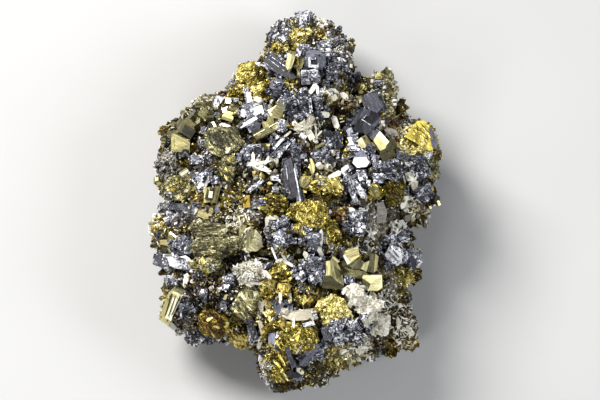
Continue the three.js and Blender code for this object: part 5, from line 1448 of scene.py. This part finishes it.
# The small crystals: shapes, smallest and largest size, thinnest share of the size, scatter in degrees
GOLDEN_GROWTH = ([SPHENOID, *ROUGH], (0.3, 1.3), 0.5, 60)
GROWTH = {
    "galena": ([CUBE, CUBE, CUBE, *PLATED[:2]], (0.35, 1.7), 0.35, 9),
    "pyrite": ([CUBE, CUBE, SLATTED[0]], (0.4, 1.7), 0.5, 12),
    "chalcopyrite": GOLDEN_GROWTH,
    "olive": GOLDEN_GROWTH,
    "tarnish": GOLDEN_GROWTH,
    "sphalerite": ([SPHENOID, *ROUGH], (0.3, 1.1), 0.7, 60),
    "calcite": ([BLADE, BLADE, *ROUGH[:2]], (0.5, 1.9), 0.2, 60),
    "quartz": (ROUGH, (0.3, 1.1), 0.6, 60),
}


class Crystals:
    """Many crystals of one mineral, gathered into as few meshes as their number allows."""

    def __init__(self, name, mineral):
        self.name = name
        self.mineral = mineral
        self.grown = []

    def add(self, shape, size, turn, place, tone, face_tone=FACE_TONE):
        corners, faces = shape
        placed = (corners * size) @ np.array(turn).T + np.array(place)
        self.grown.append((placed, faces, tone + chance.normal(0, face_tone, len(faces))))

    def add_in_place(self, corners, faces, tone, face_tone):
        """A crystal whose corners are where they belong already."""
        self.add((corners, faces), 1.0, Matrix.Identity(3), (0, 0, 0), tone, face_tone)

    def finish(self, material):
        """The pieces, numbered from 1."""
        pieces = []
        for start in range(0, len(self.grown), CRYSTALS_PER_PIECE):
            batch = self.grown[start:start + CRYSTALS_PER_PIECE]
            points, faces = joined_shape([(corners, polygons) for corners, polygons, _ in batch])
            piece = add_piece(f"{self.name}_{len(pieces) + 1}", points, faces, material, self.mineral)
            write_tones(piece.data, np.concatenate([tones for _, _, tones in batch]))
            write_growth(piece.data)
            pieces.append(piece)
        return pieces


def crystals_by_mineral(kind):
    """Where crystals of one kind are gathered, for each mineral."""
    return {mineral: Crystals(f"{kind}_{mineral}", mineral) for mineral in SHADES}


def finish_all(crystals, materials):
    pieces = []
    for mineral, gathered in crystals.items():
        pieces += gathered.finish(materials[mineral])
    return pieces


# The dressed solids

def shade_of(mineral, tone):
    positions, colours = zip(*SHADES[mineral])
    return [np.interp(tone, positions, channel) for channel in zip(*colours)]


def dress_matrix(ground, node, material):
    """The matrix: its surface breaks into facets, each of the mineral that grows there."""
    points, normals, faces = remeshed(node, MATRIX_VOXEL)
    area = len(points) * MATRIX_VOXEL ** 2
    grain = np.array(along_face(0))
    broken = points
    for facet_area, *breaking in MATRIX_FACETS:
        broken, facet = onto_facets(broken, normals, int(area / facet_area), grain, *breaking)
    flat = points[:, 2] < FOOT_HEIGHT
    broken[flat] = points[flat]
    broken[:, 2] = np.maximum(broken[:, 2], 0)
    skin = add_piece("matrix_ground", broken, faces, material, "matrix")
    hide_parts("matrix")
    colour_facets(ground, skin.data, broken, faces, facet)
    return skin


def colour_facets(ground, mesh, points, faces, facet):
    # painted light and shade of the display face's regions, with their tone
    light_and_tone_shifts = regional_shift(points)
    colours = np.ones((len(faces), 4), np.float32)
    lustre = np.zeros(len(faces), np.float32)
    facet_looks = {}
    for i, face in enumerate(faces):
        corner = face[0]
        home = facet[corner]
        if home not in facet_looks:
            mineral = ground.mineral_at(Vector(points[corner]))
            shade = shade_of(mineral, chance.beta(*GROUND_TONES) * BRIGHTEST_GROUND + light_and_tone_shifts[corner])
            facet_looks[home] = (shade, LOOKS[mineral]["metal"] * GROUND_METAL)
        colours[i, :3], lustre[i] = facet_looks[home]
    write_attribute(mesh, "mineral_colour", "FLOAT_COLOR", "FACE", colours)
    write_attribute(mesh, "lustre", "FLOAT", "FACE", lustre)


def dress_lump(node, mineral, material):
    """A rough mass: its surface breaks into small facets, each with its own tone."""
    points, normals, faces = remeshed(node, LUMP_VOXEL)
    other_grain = chance.uniform(-STEEPEST_GRAIN, STEEPEST_GRAIN)
    grain = np.array(along_face(GRAIN.get(node.name, other_grain)))
    area = len(points) * LUMP_VOXEL ** 2
    recipe = RECIPES.get(node.name, RECIPES.get(mineral, CRUMPLED))
    facet_tones = np.zeros(len(points))
    for facet_area, *breaking in recipe:
        count = max(FEWEST_FACETS, int(area / facet_area))
        points, facet = onto_facets(points, normals, count, grain, *breaking)
        facet_tones += chance.beta(*ROUGH_TONES.get(mineral, OTHER_TONES), count)[facet] / len(recipe)
    middle = facet_tones.mean()
    facet_tones = (facet_tones - middle) * TONE_SPREAD + NODE_TONES.get(node.name, middle)
    # painted light and shade of the display face's regions, with their tone
    facet_tones += regional_shift(points)
    piece = add_piece("rough_" + node.name, points, faces, material, mineral)
    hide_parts(node.name)
    write_tones(piece.data, facet_tones[[face[0] for face in faces]])
    write_grain(piece.data, points, grain)
    return piece


def dress_blocks(node, mineral, material):
    """A group of good crystals: bevelled edges, and growth plates or striae raised on its flat faces."""
    bm = bmesh.new()
    bm.from_mesh(node.data)
    bmesh.ops.remove_doubles(bm, verts=bm.verts, dist=WELD * MM)
    bmesh.ops.dissolve_limit(bm, angle_limit=FLAT_ANGLE, verts=bm.verts, edges=bm.edges)
    bm.normal_update()
    broad = [face for face in bm.faces if face.calc_area() > PLATE_AREA * MM * MM]
    plates = [plate for face in broad for plate in face_plates(face, mineral)]
    edges = list(bm.edges)
    bmesh.ops.bevel(bm, geom=edges, offset=BEVEL * MM, segments=1, affect="EDGES", clamp_overlap=True)
    corners, faces = mesh_shape(bm)

    gathered = Crystals("stepped_" + node.name, mineral)
    tone = NODE_TONES.get(node.name, BLOCK_TONE)
    gathered.add_in_place(corners / MM, faces, tone, BLOCK_FACE_TONE)
    for size, turn, place in plates:
        gathered.add(CUBE, size, turn, place, tone + chance.normal(0, PLATE_TONE))
    (piece,) = gathered.finish(material)
    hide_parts(node.name)
    return piece


def face_plates(face, mineral):
    """Low plates on one flat face: broad ones on galena, narrow full-length ones on pyrite."""
    corners = [v.co / MM for v in face.verts]
    centre = sum(corners, Vector()) / len(corners)
    along = longest_edge(corners)
    across = face.normal.cross(along)
    turn = columns_turn(along, across, face.normal)
    length = extent(corners, centre, along)
    width = extent(corners, centre, across)
    if mineral == "galena":
        number, long, wide, thick = GALENA_PLATES
        for _ in range(chance.integers(*number)):
            spot = centre.lerp(pick(corners), chance.uniform(0, GALENA_REACH))
            size = (length * chance.uniform(*long), width * chance.uniform(*wide), chance.uniform(*thick))
            yield size, turn, spot
    if mineral == "pyrite" and length > PYRITE_LENGTH * width:
        number, long, wide, thick = PYRITE_PLATES
        for _ in range(chance.integers(*number)):
            spot = centre + across * chance.uniform(-PYRITE_REACH, PYRITE_REACH) * width
            size = (length * chance.uniform(*long), chance.uniform(*wide), chance.uniform(*thick))
            yield size, turn, spot


def extent(corners, centre, direction):
    reaches = [(corner - centre).dot(direction) for corner in corners]
    return max(reaches) - min(reaches)


def dress_solids(nodes, materials):
    """All solids but the matrix, with the mineral of each."""
    masses = {}
    for name, node in nodes.items():
        mineral = SKINS.get(name, name.split("_")[0])
        blocky = mineral in ("galena", "pyrite") and name not in SPONGY_GALENA
        if blocky or name in CRISP_CALCITE:
            masses[dress_blocks(node, mineral, materials[mineral])] = mineral
        elif mineral in SHADES:
            masses[dress_lump(node, mineral, materials[mineral])] = mineral
    return masses


# The crystals that stand out, each seated where a line into the display face meets the dressed solids

def faceted_crystals(ground):
    """The crystals drawn face by face, with walls from their outlines down into the ground."""
    crystals = crystals_by_mineral("faceted")
    for mineral, faces, corners in FACETED:
        places = np.array([corner[:2] for corner in corners])
        rises = np.array([corner[2] for corner in corners])
        caps = [upward([ascii_lowercase.index(letter) for letter in face], places) for face in faces]
        levels = ground_levels(ground, places, [places[list(cap)].mean(0) for cap in caps])
        foot = np.array([(FOOT_CLEARANCE - on_face(*place).z) / OUTWARD.z for place in places])
        roots = np.minimum(np.maximum(levels - ROOT_DEPTH, foot), levels)
        top = [on_face(*place, level) for place, level in zip(places, levels + rises)]
        bottom = [on_face(*place, level) for place, level in zip(places, roots)]
        walls = rim_walls(caps, len(corners))
        floor = [tuple(len(corners) + i for i in reversed(cap)) for cap in caps]
        cap_tones = list(faces.values())
        # the caps' painted light and shade, and walls in painted shade
        tones = np.array(cap_tones + [min(cap_tones) * WALL_SHADE] * (len(walls) + len(floor)))
        polygons = [*caps, *walls, *floor]
        crystals[mineral].add_in_place(np.array([*top, *bottom]), polygons, tones, CAP_TONE)
    return crystals


def ground_levels(ground, places, middles):
    """Heights at places on a plane that follows the ground and clears most of it."""
    probes = np.array([*places, *middles])
    seats = [ground.seat(*probe) for probe in probes]
    known = [i for i, seat in enumerate(seats) if seat]
    heights = np.array([height_out(seats[i]) for i in known])
    heights = np.clip(heights, np.median(heights) - UNEVEN, np.median(heights) + UNEVEN)
    slopes = np.column_stack([probes, np.ones(len(probes))])
    plane = np.linalg.lstsq(slopes[known], heights, rcond=None)[0]
    lift = np.quantile(heights - slopes[known] @ plane, CLEARED)
    return slopes[:len(places)] @ plane + lift


def upward(cap, places):
    """A face's corners in the order that turns it to the viewer."""
    area = 0.0
    for here, after in zip(cap, cap[1:] + cap[:1]):
        area += places[here][0] * places[after][1] - places[after][0] * places[here][1]
    return tuple(cap if area < 0 else cap[::-1])


def rim_walls(caps, count):
    """Walls from the edges that only one face has down to the same corners at the bottom."""
    edges = {edge for cap in caps for edge in zip(cap, cap[1:] + cap[:1])}
    rim = sorted(edge for edge in edges if edge[::-1] not in edges)
    return [(after, here, here + count, after + count) for here, after in rim]


def place_blocks(ground, crystals):
    for (mineral, tone), blocks in BLOCKS.items():
        for column, row, width, height, spin in blocks:
            seat = ground.open_seat(column, row)
            if seat:
                depth = BLOCK_DEPTH * (width + height) / 2 + LEAST_DEPTH
                shape = pick(BLOCK_SHAPES[mineral])
                centre = seat + OUTWARD * depth * BLOCK_RISE
                crystals[mineral].add(shape, (width, height, depth), face_turn(spin), centre, tone)


def place_bars(ground, crystals):
    for (mineral, tone), bars in BARS.items():
        for start_column, start_row, end_column, end_row, width in bars:
            start = ground.seat(start_column, start_row)
            middle = ground.seat((start_column + end_column) / 2, (start_row + end_row) / 2)
            end = ground.seat(end_column, end_row)
            if start and middle and end:
                rise = max(0.0, height_out(middle) - (height_out(start) + height_out(end)) / 2)
                thickness = BAR_THICKNESS * width + LEAST_THICKNESS
                shape = pick(BAR_SHAPES.get(mineral, [BLADE]))
                lift = rise + BAR_RISE * thickness
                add_bar(crystals[mineral], shape, start, end, width, thickness, lift, tone)


def add_bar(gathered, shape, start, end, width, thickness, lift, tone):
    along = end - start
    steep = along.dot(OUTWARD)
    flat = along - OUTWARD * steep
    limit = STEEPEST * flat.length
    along = flat + OUTWARD * min(max(steep, -limit), limit)
    across = OUTWARD.cross(along).normalized()
    straight = columns_turn(along.normalized(), across, along.normalized().cross(across))
    centre = (start + end) / 2 + OUTWARD * lift
    gathered.add(shape, (along.length, width, thickness), straight @ slight_turn(BAR_LEAN), centre, tone)


def place_stars(ground, crystals):
    for column, row, reach, tone in STARS:
        seat = ground.seat(column, row)
        first = chance.uniform(0, STAR_FIRST)
        for blade in range(chance.integers(*STAR_BLADES)):
            length = reach * chance.uniform(*STAR_LENGTH)
            along = along_face(first + blade * STAR_TURN) + OUTWARD * chance.uniform(*STAR_SLOPE)
            along.normalize()
            turn = lying_turn(along, OUTWARD) @ slight_turn(STAR_LEAN)
            centre = seat + OUTWARD * STAR_HEIGHT + along * length * chance.uniform(*STAR_MIDDLE)
            size = (length, length * chance.uniform(*STAR_WIDTH), chance.uniform(*STAR_THICKNESS))
            crystals["calcite"].add(BLADE, size, turn, centre, tone)


def place_lumps(ground, crystals):
    for (mineral, tone, size), places in LUMPS.items():
        for column, row in places:
            seat = ground.open_seat(column, row)
            if seat:
                extents = size * chance.uniform(*LUMP_SIDES, 3)
                shape = pick(ROUGH)
                centre = seat + OUTWARD * size * LUMP_RISE
                crystals[mineral].add(shape, extents, random_turn(), centre, tone, LUMP_FACE_TONE)


def standing_crystals(ground):
    crystals = crystals_by_mineral("grown")
    for place in (place_blocks, place_bars, place_stars, place_lumps):
        place(ground, crystals)
    return crystals


# The small crystals

def random_tone():
    return chance.uniform(*FLASH_TONES) if chance.random() < FLASH_SHARE else chance.beta(*SMALL_TONES)


def open_spots(ground, piece, count):
    """Random places on a piece that nothing covers and that clear the foot, with the painted light and
    shade and tone there.
    """
    spots, normals = surface_samples(piece.data, count)
    for spot, normal, light_and_tone_shift in zip(spots, normals, regional_shift(spots)):
        place, normal = Vector(spot), Vector(normal)
        if place.z > LOWEST_SPOT and not ground.covered(place, normal, NEAR_COVER):
            yield place, normal, light_and_tone_shift


def grow_small(ground, crystals, mineral, place, normal, light_and_tone_shift):
    shapes, (small, large), thin, scatter = GROWTH[mineral]
    size = small * (large / small) ** (chance.random() ** SMALLNESS)
    extents = size * chance.uniform(thin, 1, 3)
    extents[chance.integers(3)] = size
    turn = slight_turn(scatter) @ ground.turn_at(place)
    shape = pick(shapes)
    seat = place + normal * size * chance.uniform(*SEATING)
    if seat.z > size * HALF_HEIGHT + FOOT_CLEARANCE:
        crystals[mineral].add(shape, extents, turn, seat, random_tone() + light_and_tone_shift)


def grow_needle(crystals, place, normal):
    length = chance.uniform(*NEEDLE_LENGTH)
    size = (length, chance.uniform(*NEEDLE_WIDTH), chance.uniform(*NEEDLE_THICKNESS))
    along = (Vector(chance.normal(size=3)) + normal * NEEDLE_LIFT).normalized()
    seat = place + normal * NEEDLE_HEIGHT
    if seat.z > length / 2 + FOOT_CLEARANCE:
        tone = chance.uniform(*NEEDLE_TONES)
        crystals["calcite"].add(BLADE, size, lying_turn(along, normal), seat, tone)


# A tiny cube at the flash tone: a painted glint
def grow_glint(crystals, place, normal):
    size = chance.uniform(*GLINT_SIZES)
    mineral = pick(GLINT_MINERALS)
    extents = size * chance.uniform(*GLINT_SIDES, 3)
    crystals[mineral].add(CUBE, extents, random_turn(), place + normal * GLINT_HEIGHT, FLASH)


def grow_crusts(ground, crystals, masses):
    """Small crystals on the solids that stand on the matrix, most of them of the solid's own mineral."""
    whole = sum(mass.dimensions.length for mass in masses)
    for mass, mineral in masses.items():
        share = mass.dimensions.length / whole
        count = int(CRUST_CRYSTALS * CRUST_SHARES.get(mineral, 1.0) * share)
        for spot in open_spots(ground, mass, count):
            kind = mineral if chance.random() < CRUST_ALIKE else ground.mineral_at(spot[0])
            grow_small(ground, crystals, kind, *spot)


def grow_fields(ground, crystals):
    for mineral, fields in FIELDS.items():
        for column, row, half_width, half_height, count in fields:
            for _ in range(count):
                angle, reach = chance.uniform(0, 2 * math.pi), math.sqrt(chance.random())
                right = half_width * reach * math.cos(angle)
                down = half_height * reach * math.sin(angle)
                seat = ground.open_seat(column + right, row + down)
                if seat and mineral == "calcite":
                    grow_needle(crystals, seat, OUTWARD)
                elif seat:
                    grow_small(ground, crystals, mineral, seat, OUTWARD, 0.0)


def small_crystals(ground, skin, masses):
    small = crystals_by_mineral("small")
    for spot in open_spots(ground, skin, GROUND_CRYSTALS):
        grow_small(ground, small, ground.mineral_at(spot[0]), *spot)
    grow_crusts(ground, small, masses)
    for place, normal, _ in open_spots(ground, skin, NEEDLES):
        grow_needle(small, place, normal)
    for place, normal, _ in open_spots(ground, skin, GLINTS):
        grow_glint(small, place, normal)
    grow_fields(ground, small)
    return small


def main():
    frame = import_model()
    nodes = frame["nodes"]
    add_stage()

    materials = {mineral: mineral_material(mineral, mineral, look) for mineral, look in LOOKS.items()}
    clean_materials = {mineral: clean_material(mineral) for mineral in SHADES}
    ground = Ground(nodes)
    skin = dress_matrix(ground, nodes["matrix"], matrix_material())
    masses = dress_solids(nodes, materials)

    surface = [skin, *masses]
    ground.settle(surface)
    clean = finish_all(faceted_crystals(ground), clean_materials)
    ground.keep_clean(clean)

    surface += clean
    ground.settle(surface)
    surface += finish_all(standing_crystals(ground), materials)

    ground.settle(surface)
    finish_all(small_crystals(ground, skin, masses), materials)


# Stage

def add_camera():
    data = bpy.data.cameras.new("camera")
    data.lens = LENS
    data.sensor_width = SENSOR
    data.clip_start, data.clip_end = CLIP
    camera = add_object("camera", data)
    distance = FRAME_COLUMNS * GRID_STEP * LENS / SENSOR
    place = on_face(*GRID_CENTRE, FRAME_DEPTH + distance) * MM
    camera.matrix_world = Matrix.Translation(place) @ FACE.to_4x4()
    bpy.context.scene.camera = camera


def add_area_light(name, direction, distance, size, watts, colour):
    data = bpy.data.lights.new(name, "AREA")
    data.size = size
    data.energy = watts
    data.color = colour
    light = add_object(name, data)
    towards = Vector(direction).normalized()
    light.location = LIT_POINT + towards * distance
    light.rotation_mode = "QUATERNION"
    light.rotation_quaternion = towards.to_track_quat("Z", "Y")


def add_floor():
    mesh = bpy.data.meshes.new("floor")
    corners = [(x * FLOOR_REACH, y * FLOOR_REACH, 0) for x, y in ((-1, -1), (1, -1), (1, 1), (-1, 1))]
    mesh.from_pydata(corners, [], [(0, 1, 2, 3)])
    floor = add_object("floor", mesh)
    material, tree, shader = new_material("floor")
    grain = add_node(tree, "ShaderNodeTexNoise", Scale=FLOOR_GRAIN)
    tree.links.new(colour_ramp(tree, grain.outputs[0], FLOOR_SHADES), shader.inputs["Base Color"])
    shader.inputs["Roughness"].default_value = FLOOR_ROUGHNESS
    mesh.materials.append(material)


def add_world():
    world = bpy.data.worlds.new("world")
    world.use_nodes = True
    background = world.node_tree.nodes["Background"]
    background.inputs["Color"].default_value = SKY
    background.inputs["Strength"].default_value = SKY_STRENGTH
    bpy.context.scene.world = world


def add_stage():
    bpy.context.scene.view_settings.view_transform = "Standard"
    add_camera()
    add_world()
    add_floor()
    for name, light in LIGHTS.items():
        add_area_light(name, *light)


main()
